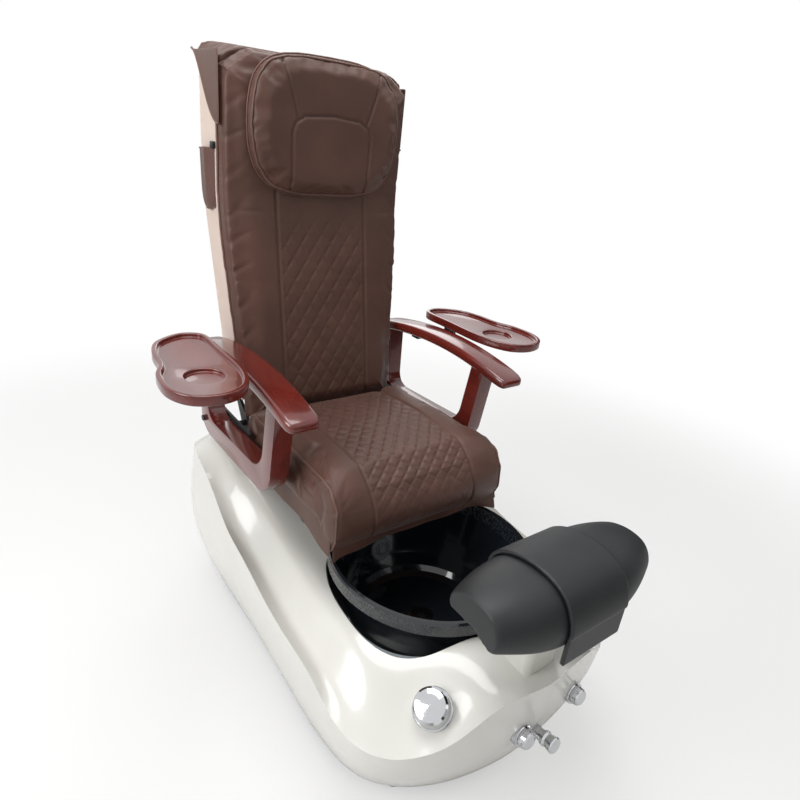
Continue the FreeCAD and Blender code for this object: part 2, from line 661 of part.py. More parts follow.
spray_turn = facing(FRONT_AXIS)
liner = body("collar_liner")
revolve(liner, sketch(liner, "XZ_Plane", polygon(
    (s.sprayer_radius, -20), (s.sprayer_radius + 0.9, -20), (s.sprayer_radius + 0.9, 4),
    (s.sprayer_radius, 4))))
put(liner, *SPRAYER_SEAT, spray_turn)
flange = body("collar_flange")
revolve(flange, sketch(flange, "XZ_Plane", polygon(
    (s.sprayer_radius, -PLATE_SKIRT), (collar_radius, -PLATE_SKIRT), (collar_radius - 1, 4),
    (s.sprayer_radius + 4, 5), (s.sprayer_radius + 3, 16), (s.sprayer_radius, 16))))
put(flange, *SPRAYER_SEAT, spray_turn)
fuse("sprayer_collar", liner, cut("collar_trim", flange, hull_form))
head = body("sprayer_head")
stem = s.sprayer_radius - 0.1
revolve(head, sketch(head, "XZ_Plane", polygon(
    (0, -32), (7, -32), (7, -16), (stem, -14), (stem, 17), (s.sprayer_radius + 3, 18),
    (s.sprayer_radius + 4, 24),
    (s.sprayer_radius + 1, 28), (s.sprayer_radius + 5, 44), (s.sprayer_radius + 3, 47), (0, 46))))
put(head, *SPRAYER_SEAT, spray_turn)

# ---------------------------------------------------------------- footrest

column_low = s.deck_front - 14
column = body("column_blank")
pad(column, sketch(column, "XY_Plane", polygon(
    (-s.column_half, -s.column_front), (s.column_half, -s.column_front),
    (s.column_half - 8, -s.column_front + s.column_depth),
    (-s.column_half + 8, -s.column_front + s.column_depth)),
    column_low), s.column_top - column_low)
fillet(column, 16, lambda edge: edge.BoundBox.ZLength > 50)
pocket(column, sketch(column, "XY_Plane", circle(0, -post_y, s.post_radius + 1.0), s.column_top + 5), 400)
cut("footrest_column", column, hull_form)
tube_body = body("socket_tube")
revolve(tube_body, sketch(tube_body, "XZ_Plane", polygon(
    (s.post_radius + 0.05, 130), (s.post_radius + 4, 130), (s.post_radius + 4, s.deck_front - 30),
    (s.post_radius + 0.05, s.deck_front - 30))))
put(tube_body, 0, -post_y, 0)
socket_arm = box("socket_arm", -20, -post_y + s.post_radius + 2, frame_low + tube, 40,
                 post_y - s.frame_front - s.post_radius + 30, 100)
fuse("footrest_socket", tube_body, socket_arm)

post = rod("footrest_tube", 0, -post_y, 150, s.post_radius, s.footrest_top - 44 - 150)
plate = box("footrest_plate", -60, -s.footrest_y - 45, s.footrest_top - 44, 120, 100, 4)
fuse("footrest_post", post, plate)


def arch_section(x, scale, sink, out=0.0):
    """One cross-section of the footrest pad, like a hood seen from the side, grown outwards by a distance."""
    mid, top = -float(s.footrest_y), float(s.footrest_top) - sink
    deep, drop = float(s.footrest_depth) * scale, float(s.footrest_drop) * scale
    points = [(-0.50, -0.86), (-0.49, -0.42), (-0.36, -0.12), (-0.12, 0.0), (0.12, -0.03), (0.34, -0.18),
              (0.47, -0.48), (0.46, -0.70), (0.20, -0.74), (-0.20, -0.84), (-0.42, -0.98)]
    loop = [Vector(x, mid + u * deep, top + v * drop) for u, v in points]
    grown = []
    for index, point in enumerate(loop):
        run = (loop[(index + 1) % len(loop)] - loop[index - 1]).normalize()
        grown.append(point + Vector(0, -run.z, run.y) * out)
    return closed_spline(grown)


half = float(s.footrest_half)
saddle = float(s.saddle_half)
CORE_SINK = 8
sections = [(-half, 0.52, 34), (-0.72 * half, 0.80, 14), (-saddle - 8, 0.99, CORE_SINK), (0, 1.0, CORE_SINK),
            (saddle + 8, 0.99, CORE_SINK), (0.72 * half, 0.80, 14), (half, 0.52, 34)]
pad_body = Part.makeLoft([arch_section(*row) for row in sections], True, False)
plate_top = float(s.footrest_top) - 40
plate_room = Part.makeBox(124, 104, 90, Vector(-62, -float(s.footrest_y) - 47, plate_top - 90 + gap))
pad_body = pad_body.cut(plate_room)
solid("footrest_pad", pad_body)


def saddle_slab(out):
    """The middle of the pad grown outwards by a distance."""
    return Part.Face(arch_section(-saddle, 1.0, CORE_SINK, out)).extrude(Vector(2 * saddle, 0, 0))


band = saddle_slab(0.6 + float(s.saddle_skin)).cut(saddle_slab(0.6))
front_y = -float(s.footrest_y) - 0.5 * float(s.footrest_depth)
band_low = float(s.footrest_top) - 0.74 * float(s.footrest_drop)
band = band.cut(Part.makeBox(400, 400, 300, Vector(-200, front_y - 60, band_low - 300)))
flap_low = float(s.footrest_top) - 1.28 * float(s.footrest_drop)
flap = Part.makeBox(2 * saddle, float(s.saddle_skin), band_low - flap_low + 2,
                    Vector(-saddle, front_y - float(s.saddle_skin) - 1.0, flap_low))
saddle_shape = band.fuse(flap).cut(pad_body)
solid("footrest_saddle", max(saddle_shape.Solids, key=lambda piece: piece.Volume))

# ---------------------------------------------------------------- seat

frame_top = float(s.seat_underside) - float(s.board_thickness)
seat_rear = s.seat_front + s.seat_depth
seat_tubes = [box(f"seat_side{side}", side * s.seat_frame_half - (s.seat_tube if side > 0 else 0),
                  s.seat_front + 88,
                  frame_top - s.seat_tube, s.seat_tube, s.seat_depth - 108, s.seat_tube) for side in (-1, 1)]
seat_crosses = [box(f"seat_cross{index}", -s.seat_frame_half, place_y, frame_top - s.seat_tube,
                    2 * s.seat_frame_half, s.seat_tube, s.seat_tube)
                for index, place_y in enumerate((s.seat_front + 88, s.rail_front + 65, seat_rear - 40))]
fuse("seat_frame", *seat_tubes, *seat_crosses)
box("seat_board", 20 - s.seat_frame_half, s.seat_front + 92, frame_top, 2 * s.seat_frame_half - 40,
    s.seat_depth - 108, s.board_thickness - gap)

cushion = body("seat_cushion")
pad(cushion, sketch(cushion, "YZ_Plane", polygon(
    (seat_rear - 14, s.seat_underside), (s.seat_front + 88, s.seat_underside),
    (s.seat_front + 76, s.seat_nose),
    (s.seat_front + 20, s.seat_nose), (s.seat_front, s.seat_nose + 48), (s.seat_front, s.seat_top - 70),
    (s.seat_front + 22, s.seat_top - 24), (s.seat_front + 70, s.seat_top - 4),
    (s.seat_front + 270, s.seat_top),
    (seat_rear - 16, s.seat_top - 18)), -s.seat_half), 2 * s.seat_half)

runners = [box(f"runner{side}", side * s.rail_gauge - s.rail_width / 2, s.rail_front + 20,
               frame_top - s.seat_tube - s.rail_height, s.rail_width, s.rail_length - 60, s.rail_height)
           for side in (-1, 1)]
group("slide_runners", *runners)
flaps = [box(f"flap{side}", side * (s.seat_half - 14) - s.flap_thickness / 2, s.seat_front + 92,
             s.seat_underside - gap - s.flap_drop, s.flap_thickness, s.seat_depth - 238, s.flap_drop) for side in (-1, 1)]
group("seat_flaps", *flaps)

bracket_inner = arm_inner + 4
arm_pivot_y = s.loop_rear + 6
arm_pivot_z = s.loop_low + 27
bracket_foot = box("bracket_foot", s.seat_frame_half - 15, seat_rear - 80, frame_top,
                   bracket_inner - s.seat_frame_half + 21,
                   60, 6)
bracket_plate = box("bracket_plate", bracket_inner, seat_rear - 80, frame_top, 6,
                    arm_pivot_y - seat_rear + 100,
                    arm_pivot_z - frame_top + 20)
recline_pin = rod("recline_pin", s.back_half_low - 25, s.recline_y, s.recline_z, s.pin_radius,
                  bracket_inner - s.back_half_low + 28, Rotation(Vector(0, 1, 0), 90))
lift_pin = rod("lift_pin", bracket_inner, arm_pivot_y, arm_pivot_z, s.pin_radius, s.arm_width - 12,
               Rotation(Vector(0, 1, 0), 90))
fuse("arm_bracket_left", bracket_foot, bracket_plate, recline_pin, lift_pin)
mirror("arm_bracket_right", document.ActiveObject)

cut("slide_nut", box("nut_block", -20, s.rail_front + 60, pedestal_top + 6, 40, 30,
                           frame_top - s.seat_tube - (pedestal_top + 6)),
          rod("nut_bore", 0, s.rail_front + 50, pedestal_top + 20, 7.05, 60, Rotation(Vector(1, 0, 0), -90)))

# ---------------------------------------------------------------- back

back_rise = float(s.back_top) - float(s.back_low)
# The share of the height over which the padded face leans.
LEAN_ENDS = 0.62


def back_front(level):
    """Where the padded face of the back is at one height: it leans, then stands nearly upright."""
    share = min(max((level - float(s.back_low)) / (LEAN_ENDS * back_rise), 0), 1)
    return float(s.back_front) + float(s.back_lean) * share


def back_half(level):
    """Half of the back's width at one height."""
    share = min(max((level - float(s.back_low)) / (0.65 * back_rise), 0), 1)
    return float(s.back_half_low) + (float(s.back_half_high) - float(s.back_half_low)) * share


def back_section(level, trim=0.0, corner=22.0):
    front = back_front(level)
    return rounded_block(back_half(level) - trim, front + 0.3 * trim, front + float(s.back_pad), level, 4,
                         corner)


# The shell shares the cushion's levels, so that the two meet in one surface.
back_levels = [float(s.back_low) + share * back_rise for share in (0.15, 0.32, 0.50, LEAN_ENDS, 0.80)]
cushion_wires = [back_section(level) for level in (float(s.back_low), *back_levels, float(s.back_top) - 60)]
cushion_wires.append(back_section(float(s.back_top) - 14, 12, 22))
cushion_wires.append(back_section(float(s.back_top), 44, 18))
solid("back_cushion", Part.makeLoft(cushion_wires, True, True))

shell_low = float(s.back_low) + 14
shell_high = float(s.back_top) - 52
shell_play = 0.5


def shell_section(level, inset):
    """The back shell's outline at one height, from behind the cushion to its rear."""
    front = back_front(level) + float(s.back_pad) + shell_play
    share = (level - shell_low) / (shell_high - shell_low)
    depth = float(s.back_depth) - float(s.back_pad) + 24 * share - 12
    half_width = back_half(level) - 5 - 8 * share - inset
    start = front - (20 if inset > 0 else 0)
    return rounded_block(half_width, start, front + depth - inset, level, 30 - inset, 2)


shell_levels = (shell_low, *back_levels, shell_high)
outer_wires = [shell_section(level, 0) for level in shell_levels]
inner_wires = [shell_section(level, float(s.back_wall)) for level in shell_levels]
inner_wires[0].translate(Vector(0, 0, -6))
inner_wires[-1].translate(Vector(0, 0, 6))
back_casing = Part.makeLoft(outer_wires, True, True).cut(Part.makeLoft(inner_wires, True, True))
solid("back_shell", back_casing)

hood_front = back_front(shell_high) + float(s.back_pad) + shell_play
hood_rear = hood_front + float(s.back_depth) - float(s.back_pad) + 14
hood_half = back_half(shell_high) - 8
hood = Part.makeLoft([rounded_block(hood_half, hood_front, hood_rear, shell_high + gap, 26),
                      rounded_block(hood_half - 4, hood_front, hood_rear - 4, shell_high + 30, 24),
                      rounded_block(hood_half - 22, hood_front + 4, hood_rear - 16, shell_high + 52, 18)],
                      True, True)
solid("cover_hood", hood)

pillow_front = back_front(float(s.back_top)) - float(s.pillow_thickness) - gap
pillow = body("head_pillow")
pad(pillow, sketch(pillow, "XZ_Plane", polygon(
    (-s.pillow_half + 42, pillow_low), (s.pillow_half - 42, pillow_low),
    (s.pillow_half - 8, pillow_low + 50),
    (s.pillow_half, pillow_low + 130), (s.pillow_half - 16, pillow_high - 70),
    (s.pillow_half - 62, pillow_high),
    (-s.pillow_half + 62, pillow_high), (-s.pillow_half + 16, pillow_high - 70),
    (-s.pillow_half, pillow_low + 130), (-s.pillow_half + 8, pillow_low + 50)),
    -(pillow_front + s.pillow_thickness)), s.pillow_thickness)

# The steel frame leans back with the shell, and the massage rails are parallel to it.
RAIL_LEAN = 7.5
FRAME_TUBE = 25
lean_turn = Rotation(Vector(1, 0, 0), -RAIL_LEAN)
rail_foot = Vector(0, float(s.back_front) + 145, float(s.back_low) + 78)
rail_span = back_rise - 164


def lean(item, x, out, along):
    """Places a piece on the leaning frame: out is rearwards of the rails, along is up them."""
    item.Placement = Placement(rail_foot + lean_turn.multVec(Vector(x, out, along)), lean_turn)
    return item


upright_x = float(s.back_half_low) - 33.5 - FRAME_TUBE / 2
uprights = [lean(box(f"back_upright{side}", 0, 0, 0, FRAME_TUBE, FRAME_TUBE, rail_span + 44),
                 side * (upright_x + FRAME_TUBE / 2) - FRAME_TUBE / 2, -FRAME_TUBE / 2,
                 -22) for side in (-1, 1)]
cross_bars = [lean(box(f"back_cross{index}", 0, 0, 0, 2 * upright_x, 22, 22), -upright_x, -11, along)
              for index, along in enumerate((-22, rail_span))]
stand_offs = []
for name, distance in (("low", -11), ("high", rail_span + 11)):
    centre = rail_foot + lean_turn.multVec(Vector(0, 0, distance))
    panel_y = back_front(centre.z + 7) + float(s.back_pad) + gap
    stand_offs += [box(f"stand_off_{name}{side}", side * 120 - 15, panel_y, centre.z - 7, 30,
                       centre.y - panel_y, 14)
                   for side in (-1, 1)]
ears = []
for side in (-1, 1):
    ear = body(f"back_ear{side}")
    start = s.back_half_low - 21 if side > 0 else -s.back_half_low + 13
    pad(ear, sketch(ear, "YZ_Plane", polygon(
        (s.recline_y - 16, s.recline_z - 20), (s.recline_y + 16, s.recline_z - 20),
        (rail_foot.y + 8, rail_foot.z - 14), (rail_foot.y + 8, rail_foot.z + 40),
        (rail_foot.y - 12, rail_foot.z + 40), (s.recline_y + 36, s.back_low - 4),
        (s.recline_y - 20, s.recline_z + 12)), start), 8)
    pocket(ear, sketch(ear, "YZ_Plane", circle(s.recline_y, s.recline_z, s.pin_radius + s.pin_play),
                       start - 5), 20,
           reverse=True)
    ears.append(ear)
fuse("back_frame", *uprights, *cross_bars, *stand_offs, *ears)

rails = [lean(rod(f"massage_rod{side}", 0, 0, 0, s.rod_radius, rail_span - 2 * gap),
              side * float(s.rod_gauge), 0, gap)
         for side in (-1, 1)]
group("massage_rails", *rails)

CARRIAGE_AT = 0.36 * rail_span
SHAFT_OUT = -32
SHAFT_RADIUS = 6
sideways = Rotation(Vector(0, 1, 0), 90)
gearbox = box("gearbox", -36, -46, -38, 72, 70, 76)
yoke = box("yoke", -s.rod_gauge - 18, -11, -24, 2 * s.rod_gauge + 36, 26, 48)
rod_bores = [rod(f"rod_bore{side}", side * s.rod_gauge, 0, -60, s.rod_radius + s.pin_play,
                 120) for side in (-1, 1)]
shaft_bore = rod("shaft_bore", -60, SHAFT_OUT, 0, SHAFT_RADIUS + s.pin_play, 120, sideways)
lean(cut("massage_carriage", fuse("carriage_block", gearbox, yoke), *rod_bores, shaft_bore), 0, 0,
     CARRIAGE_AT)

knead_shaft = rod("knead_shaft", -66, SHAFT_OUT, 0, SHAFT_RADIUS, 132, sideways)
knead_discs = [rod(f"knead_disc{side}", side * 54 - 8, SHAFT_OUT, 0, s.roller_radius, 16, sideways)
               for side in (-1, 1)]
lean(fuse("kneading_rollers", knead_shaft, *knead_discs), 0, 0, CARRIAGE_AT)


def sleeve(grow):
    """The back shell's outside, grown sideways and rearwards."""
    return Part.makeLoft([shell_section(level, -grow) for level in shell_levels], True, True)


def side_slice(grow, inner_grow, margin, top):
    """A layer on the side of the shell, inside the pocket's front, rear and bottom edges."""
    layer = sleeve(grow).cut(sleeve(inner_grow))
    low = pocket_low + margin
    return layer.common(Part.makeBox(200, pocket_depth - 2 * margin, top - low,
                                     Vector(-400, pocket_y + margin, low)))


pocket_low = shell_low + 0.60 * (shell_high - shell_low)
pocket_top = pocket_low + 142
pocket_y = back_front(pocket_low) + float(s.back_pad) + 8
pocket_depth = 100
POCKET_BULGE = 22
POCKET_CLOTH = 3
pouch = side_slice(POCKET_BULGE, gap, 0, pocket_top)
pouch = pouch.cut(side_slice(POCKET_BULGE - POCKET_CLOTH, POCKET_CLOTH, POCKET_CLOTH, pocket_top + 1))
solid("side_pocket", pouch)

# ---------------------------------------------------------------- arms and trays


def arched_plank(drawing):
    """The arm pad from the side: two arcs, closed by its ends."""
    front, rear, top = float(s.arm_front), float(s.arm_rear), float(s.arm_top)
    thick = float(s.arm_thickness)
    upper = [Vector(front, top - 31, 0), Vector(front + 0.46 * (rear - front), top, 0),
             Vector(rear, top - 38, 0)]
    lower = [Vector(rear, top - 38 - thick, 0), Vector(front + 0.46 * (rear - front), top - thick, 0),
             Vector(front, top - 31 - thick + 6, 0)]
    drawing.addGeometry(Part.Arc(*upper))
    drawing.addGeometry(Part.LineSegment(upper[2], lower[0]))
    drawing.addGeometry(Part.Arc(*lower))
    drawing.addGeometry(Part.LineSegment(lower[2], upper[0]))


arm_pad = body("arm_pad_left")
pad(arm_pad, sketch(arm_pad, "YZ_Plane", arched_plank, arm_inner), s.arm_width)
fillet(arm_pad, 7, lambda edge: edge.BoundBox.XLength < 0.1 and edge.BoundBox.YLength > 100)
mirror("arm_pad_right", arm_pad)

loop_start = arm_inner + (s.arm_width - s.loop_width) / 2
loop_top = s.arm_top + 20
bar = s.loop_bar
loop = body("arm_loop_blank")
pad(loop, sketch(loop, "YZ_Plane", polygon(
    (s.loop_front, loop_top), (s.loop_front + 28, s.loop_low + 40), (s.loop_front + 70, s.loop_low),
    (s.loop_rear - 10, s.loop_low - 11), (s.loop_rear + 34, s.loop_low + 16), (s.loop_rear + 44, loop_top)),
    loop_start), s.loop_width)
pocket(loop, sketch(loop, "YZ_Plane", polygon(
    (s.loop_front + bar, loop_top + 5), (s.loop_front + bar + 22, s.loop_low + bar + 40),
    (s.loop_front + bar + 56, s.loop_low + bar + 6), (s.loop_rear - 40, s.loop_low + bar - 8),
    (s.loop_rear - 14, s.loop_low + bar + 14), (s.loop_rear - 6, loop_top + 5)), loop_start - 5),
    s.loop_width + 10, reverse=True)
fillet(loop, 14, along(Vector(1, 0, 0)))
pocket(loop, sketch(loop, "YZ_Plane", circle(arm_pivot_y, arm_pivot_z, s.pin_radius + s.pin_play),
                    loop_start - 5),
       s.loop_width + 10, reverse=True)
document.recompute()
above_pad = arm_pad.Shape.fuse(Part.makeBox(400, 900, 200, Vector(100, 0, float(s.arm_top) - 4)))
loop_shape = loop.Shape.cut(above_pad)
loop_shape = max(loop_shape.Solids, key=lambda piece: piece.Volume)
arm_loop = solid("arm_loop_left", loop_shape)
mirror("arm_loop_right", arm_loop)

tray_low = float(s.arm_top) - 3
tray_high = tray_low + float(s.tray_thickness)


def kidney(inset):
    """The tray's outline: a straight inner edge and two lobes, the front one wider."""
    inner = float(arm_inner) + float(s.arm_width) + 7 + inset
    lobe_x = float(cup_x)
    lobe_y = float(s.cup_y)
    reach = lobe_x + 96 - inset
    pull = inset * 0.7
    return [(inner, lobe_y - 10), (inner, lobe_y + 120), (inner, lobe_y + 215 - pull),
            (inner + 22, lobe_y + 246 - inset),
            (lobe_x - 18, lobe_y + 250 - inset), (lobe_x + 38 - pull, lobe_y + 212 - pull),
            (lobe_x + 62 - inset, lobe_y + 150),
            (lobe_x + 72 - inset, lobe_y + 74), (reach - 4, lobe_y + 20), (reach - 3, lobe_y - 54 + pull),
            (lobe_x + 62 - pull, lobe_y - 108 + pull), (lobe_x, lobe_y - 122 + inset),
            (inner + 28, lobe_y - 92 + pull)]


tray = body("tray_left")
pad(tray, sketch(tray, "XY_Plane", curve(*kidney(0)), tray_low), s.tray_thickness)
pocket(tray, sketch(tray, "XY_Plane", curve(*kidney(float(s.tray_lip))), tray_high + 1), s.tray_floor + 1)
pocket(tray, sketch(tray, "XY_Plane", circle(cup_x, s.cup_y, s.cup_radius), tray_high + 1),
       s.tray_floor + s.cup_depth + 1)
pocket(tray, sketch(tray, "XY_Plane", circle(tray_pivot_x, s.tray_pivot_y, s.pin_radius + s.pin_play),
                    tray_low - 1), 9,
       reverse=True)
mirror("tray_right", tray)

bracket_edge = Part.makeLine(Vector(float(arm_inner) + 20, float(s.tray_pivot_y) + 14, 0),
                             Vector(float(arm_inner) + 20, float(s.tray_pivot_y) + 14, 2000))
pad_under = min(vertex.Z for vertex in bracket_edge.common(arm_pad.Shape).Vertexes)
bracket_low = pad_under - gap - 6
arm = box("tray_arm", arm_inner + 14, s.tray_pivot_y - 14, bracket_low, tray_pivot_x - arm_inner - 14,
          28, 6)
knuckle = bind(add("Part::Cone", "tray_knuckle"), Radius1=20, Radius2=13, Height=tray_low - gap - bracket_low)
put(knuckle, tray_pivot_x, s.tray_pivot_y, bracket_low)
pivot = rod("tray_pin", tray_pivot_x, s.tray_pivot_y, bracket_low, s.pin_radius, tray_low - bracket_low + 7)
bracket = fuse("tray_bracket_left", arm, knuckle, pivot)
mirror("tray_bracket_right", bracket)

# ---------------------------------------------------------------- check and write

NODES = {
    "base": ["base_shell", "bowl_surround", "foot_bowl", "drain_strainer", "drain_pipe", "jet_cover",
             "jet_motor",
             "base_frame", "levelling_feet", "seat_pedestal", "slide_rails", "slide_drive", "control_box",
             "power_inlet", "mixer_plate", "mixer_valve", "drain_plate", "drain_valve", "air_plate",
             "air_valve",
             "sprayer_collar", "footrest_column", "footrest_socket"],
    "fittings": ["mixer_knob", "drain_knob", "air_knob", "sprayer_head"],
    "footrest": ["footrest_post", "footrest_pad", "footrest_saddle"],
    "seat": ["seat_frame", "seat_board", "seat_cushion", "slide_runners", "seat_flaps", "slide_nut",
             "arm_bracket_left", "arm_bracket_right"],
    "back": ["back_frame", "back_shell", "back_cushion", "cover_hood", "head_pillow", "massage_rails",
             "side_pocket", "massage_carriage", "kneading_rollers"],
    "arms": ["arm_pad_left", "arm_pad_right", "arm_loop_left", "arm_loop_right", "tray_bracket_left",
             "tray_bracket_right", "tray_left", "tray_right"],
}

document.recompute()
for item in document.Objects:
    if "Invalid" in item.State or "Error" in item.State:
        raise RuntimeError(f"{item.Label} failed: {item.State}")
by_label = {item.Label: item for item in document.Objects}
shapes = {}
for labels in NODES.values():
    for label in labels:
        shape = by_label[label].Shape
        if shape.isNull() or not shape.isValid() or not shape.Solids:
            raise RuntimeError(f"{label} has no valid shape")
        shapes[label] = shape

# The origin goes to the middle of the footprint: every piece moves by the same distance.
bounds = [shape.optimalBoundingBox(False, False) for shape in shapes.values()]
shift = -(min(bound.YMin for bound in bounds) + max(bound.YMax for bound in bounds)) / 2
print("moved along Y by", round(shift, 3))
os.makedirs("parts", exist_ok=True)
for label, shape in shapes.items():
    moved = shape.copy()
    moved.translate(Vector(0, shift, 0))
    moved.exportStep(f"parts/{label}.step")
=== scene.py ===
"""Looks of a pedicure spa chair: its finishes, soft goods, lacquered arms and trays, and a studio."""
import logging
import math
from collections.abc import Callable, Iterator, Sequence
from contextlib import contextmanager
from dataclasses import dataclass
from enum import Enum

import bpy
import numpy as np
from mathutils import Matrix, Vector


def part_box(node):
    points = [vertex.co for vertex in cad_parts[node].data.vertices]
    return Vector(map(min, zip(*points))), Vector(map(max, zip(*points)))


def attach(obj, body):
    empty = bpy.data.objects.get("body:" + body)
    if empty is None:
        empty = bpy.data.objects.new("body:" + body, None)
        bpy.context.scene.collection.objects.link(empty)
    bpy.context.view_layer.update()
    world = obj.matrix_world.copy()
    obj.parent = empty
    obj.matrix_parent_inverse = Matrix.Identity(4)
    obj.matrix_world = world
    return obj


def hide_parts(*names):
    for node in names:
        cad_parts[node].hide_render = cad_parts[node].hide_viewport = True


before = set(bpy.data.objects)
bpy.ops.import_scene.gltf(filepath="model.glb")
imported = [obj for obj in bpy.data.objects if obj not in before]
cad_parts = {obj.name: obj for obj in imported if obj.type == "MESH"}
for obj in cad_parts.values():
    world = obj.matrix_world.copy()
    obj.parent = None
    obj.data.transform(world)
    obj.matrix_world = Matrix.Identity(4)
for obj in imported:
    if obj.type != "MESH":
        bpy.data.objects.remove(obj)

log = logging.getLogger("spa_chair")
Colour = tuple[float, float, float]
Test = Callable[[Vector], bool]
Field = Callable[[np.ndarray, np.ndarray, np.ndarray], np.ndarray]
Rule = Callable[[Vector], Vector]

# The leather's thickness, the piping's radius, and how strongly one pass of smoothing works.
LEATHER_THICK = 0.0024
PIPING_RADIUS = 0.0026
SMOOTHING = 0.5
# Half the width of a stitched line.
STITCH = 0.0030


class Side(Enum):
    """The sitter's two sides, as the sign of X."""

    LEFT = 1
    RIGHT = -1

    @property
    def word(self) -> str:
        """The side's name in a piece's name."""
        return self.name.lower()


class Select(Enum):
    """What an edit works on."""

    VERTICES = "VERT"
    EDGES = "EDGE"
    FACES = "FACE"


# ---------------------------------------------------------------- hand tools


def hold(piece: bpy.types.Object) -> None:
    """Makes one piece the only selected one and the active one."""
    bpy.ops.object.select_all(action="DESELECT")
    piece.select_set(True)
    bpy.context.view_layer.objects.active = piece


def name_active(name: str) -> bpy.types.Object:
    """Names the piece that was just made.

    Args:
        name: The piece's name.

    Returns:
        The piece.
    """
    piece = bpy.context.active_object
    piece.name = name
    piece.data.name = name
    return piece


@contextmanager
def editing(piece: bpy.types.Object, kind: Select = Select.FACES) -> Iterator[None]:
    """Opens a piece for editing and closes it again.

    Args:
        piece: The piece to edit.
        kind: What is selected and edited.
    """
    hold(piece)
    bpy.ops.object.mode_set(mode="EDIT")
    bpy.ops.mesh.select_mode(type=kind.value)
    try:
        yield
    finally:
        bpy.ops.object.mode_set(mode="OBJECT")


def pick(piece: bpy.types.Object, kind: Select, test: Test) -> None:
    """Selects the vertices, edges or faces whose middle passes a test.

    Args:
        piece: The piece, in object mode.
        kind: What is selected.
        test: Takes the middle of a vertex, edge or face.
    """
    with editing(piece, kind):
        bpy.ops.mesh.select_all(action="DESELECT")
    data = piece.data
    if kind is Select.VERTICES:
        for vertex in data.vertices:
            vertex.select = test(vertex.co)
    if kind is Select.EDGES:
        for edge in data.edges:
            ends = [data.vertices[index].co for index in edge.vertices]
            edge.select = test((ends[0] + ends[1]) / 2)
    if kind is Select.FACES:
        for face in data.polygons:
            face.select = test(face.center)


def points(piece: bpy.types.Object) -> np.ndarray:
    """Reads a piece's vertices as rows of x, y and z."""
    flat = np.empty(len(piece.data.vertices) * 3)
    piece.data.vertices.foreach_get("co", flat)
    return flat.reshape(-1, 3)


def set_points(piece: bpy.types.Object, rows: np.ndarray) -> None:
    """Moves a piece's vertices to new places."""
    piece.data.vertices.foreach_set("co", rows.ravel())
    piece.data.update()


def reshape(piece: bpy.types.Object, change: Rule) -> None:
    """Moves every vertex of a piece to where a rule puts it."""
    for vertex in piece.data.vertices:
        vertex.co = change(vertex.co)
    piece.data.update()


def apply(piece: bpy.types.Object, kind: str, **settings: object) -> None:
    """Adds one modifier and applies it.

    Args:
        piece: The piece.
        kind: The modifier's type.
        **settings: The modifier's settings.
    """
    hold(piece)
    modifier = piece.modifiers.new(kind.title(), kind)
    for name, value in settings.items():
        setattr(modifier, name, value)
    bpy.ops.object.modifier_apply(modifier=modifier.name)


def plate(name: str, outline: Sequence[Vector]) -> bpy.types.Object:
    """Cuts a flat plate to an outline.

    Args:
        name: The piece's name.
        outline: The corners in order.

    Returns:
        A piece of one face.
    """
    bpy.ops.object.select_all(action="DESELECT")
    bpy.ops.mesh.primitive_circle_add(vertices=len(outline), fill_type="NGON")
    piece = name_active(name)
    for vertex, corner in zip(piece.data.vertices, outline):
        vertex.co = corner
    piece.data.update()
    return piece


def extrude(piece: bpy.types.Object, by: Vector) -> None:
    """Gives a plate its thickness and turns its faces outwards."""
    with editing(piece):
        bpy.ops.mesh.select_all(action="SELECT")
        bpy.ops.mesh.extrude_region_move(TRANSFORM_OT_translate={"value": by})
        bpy.ops.mesh.select_all(action="SELECT")
        bpy.ops.mesh.normals_make_consistent(inside=False)


def block(name: str, cuts: int, change: Rule) -> bpy.types.Object:
    """Makes a block with evenly cut faces and shapes it.

    Args:
        name: The piece's name.
        cuts: How many cuts each edge gets.
        change: Takes a corner from -1 to 1 on each axis and gives its place.

    Returns:
        The shaped block.
    """
    bpy.ops.object.select_all(action="DESELECT")
    bpy.ops.mesh.primitive_cube_add(size=2)
    piece = name_active(name)
    with editing(piece):
        bpy.ops.mesh.select_all(action="SELECT")
        bpy.ops.mesh.subdivide(number_cuts=cuts)
    reshape(piece, change)
    return piece


def cloth(name: str, across: int, along: int, change: Rule, thick: float) -> bpy.types.Object:
    """Cuts a sheet, lays it to shape and gives it its thickness.

    Args:
        name: The piece's name.
        across: Divisions across.
        along: Divisions along.
        change: Takes a place from -1 to 1 on X and Y and gives its place.
        thick: The sheet's thickness in metres.

    Returns:
        The sheet.
    """
    bpy.ops.object.select_all(action="DESELECT")
    bpy.ops.mesh.primitive_grid_add(x_subdivisions=across, y_subdivisions=along, size=2)
    piece = name_active(name)
    reshape(piece, change)
    apply(piece, "SOLIDIFY", thickness=thick, offset=0)
    apply(piece, "SUBSURF", levels=1, render_levels=1)
    smooth(piece, 60)
    return piece


def smooth(piece: bpy.types.Object, degrees: float = 40) -> None:
    """Shades a piece smooth except over edges sharper than an angle."""
    hold(piece)
    bpy.ops.object.shade_smooth_by_angle(angle=math.radians(degrees))


def round_edges(piece: bpy.types.Object, width: float, steps: int = 4, degrees: float = 40) -> None:
    """Rounds every edge sharper than an angle."""
    apply(piece, "BEVEL", width=width, segments=steps, limit_method="ANGLE", angle_limit=math.radians(degrees))


def copy_of(piece: bpy.types.Object, name: str) -> bpy.types.Object:
    """Copies a piece with its own mesh."""
    hold(piece)
    bpy.ops.object.duplicate(linked=False)
    return name_active(name)


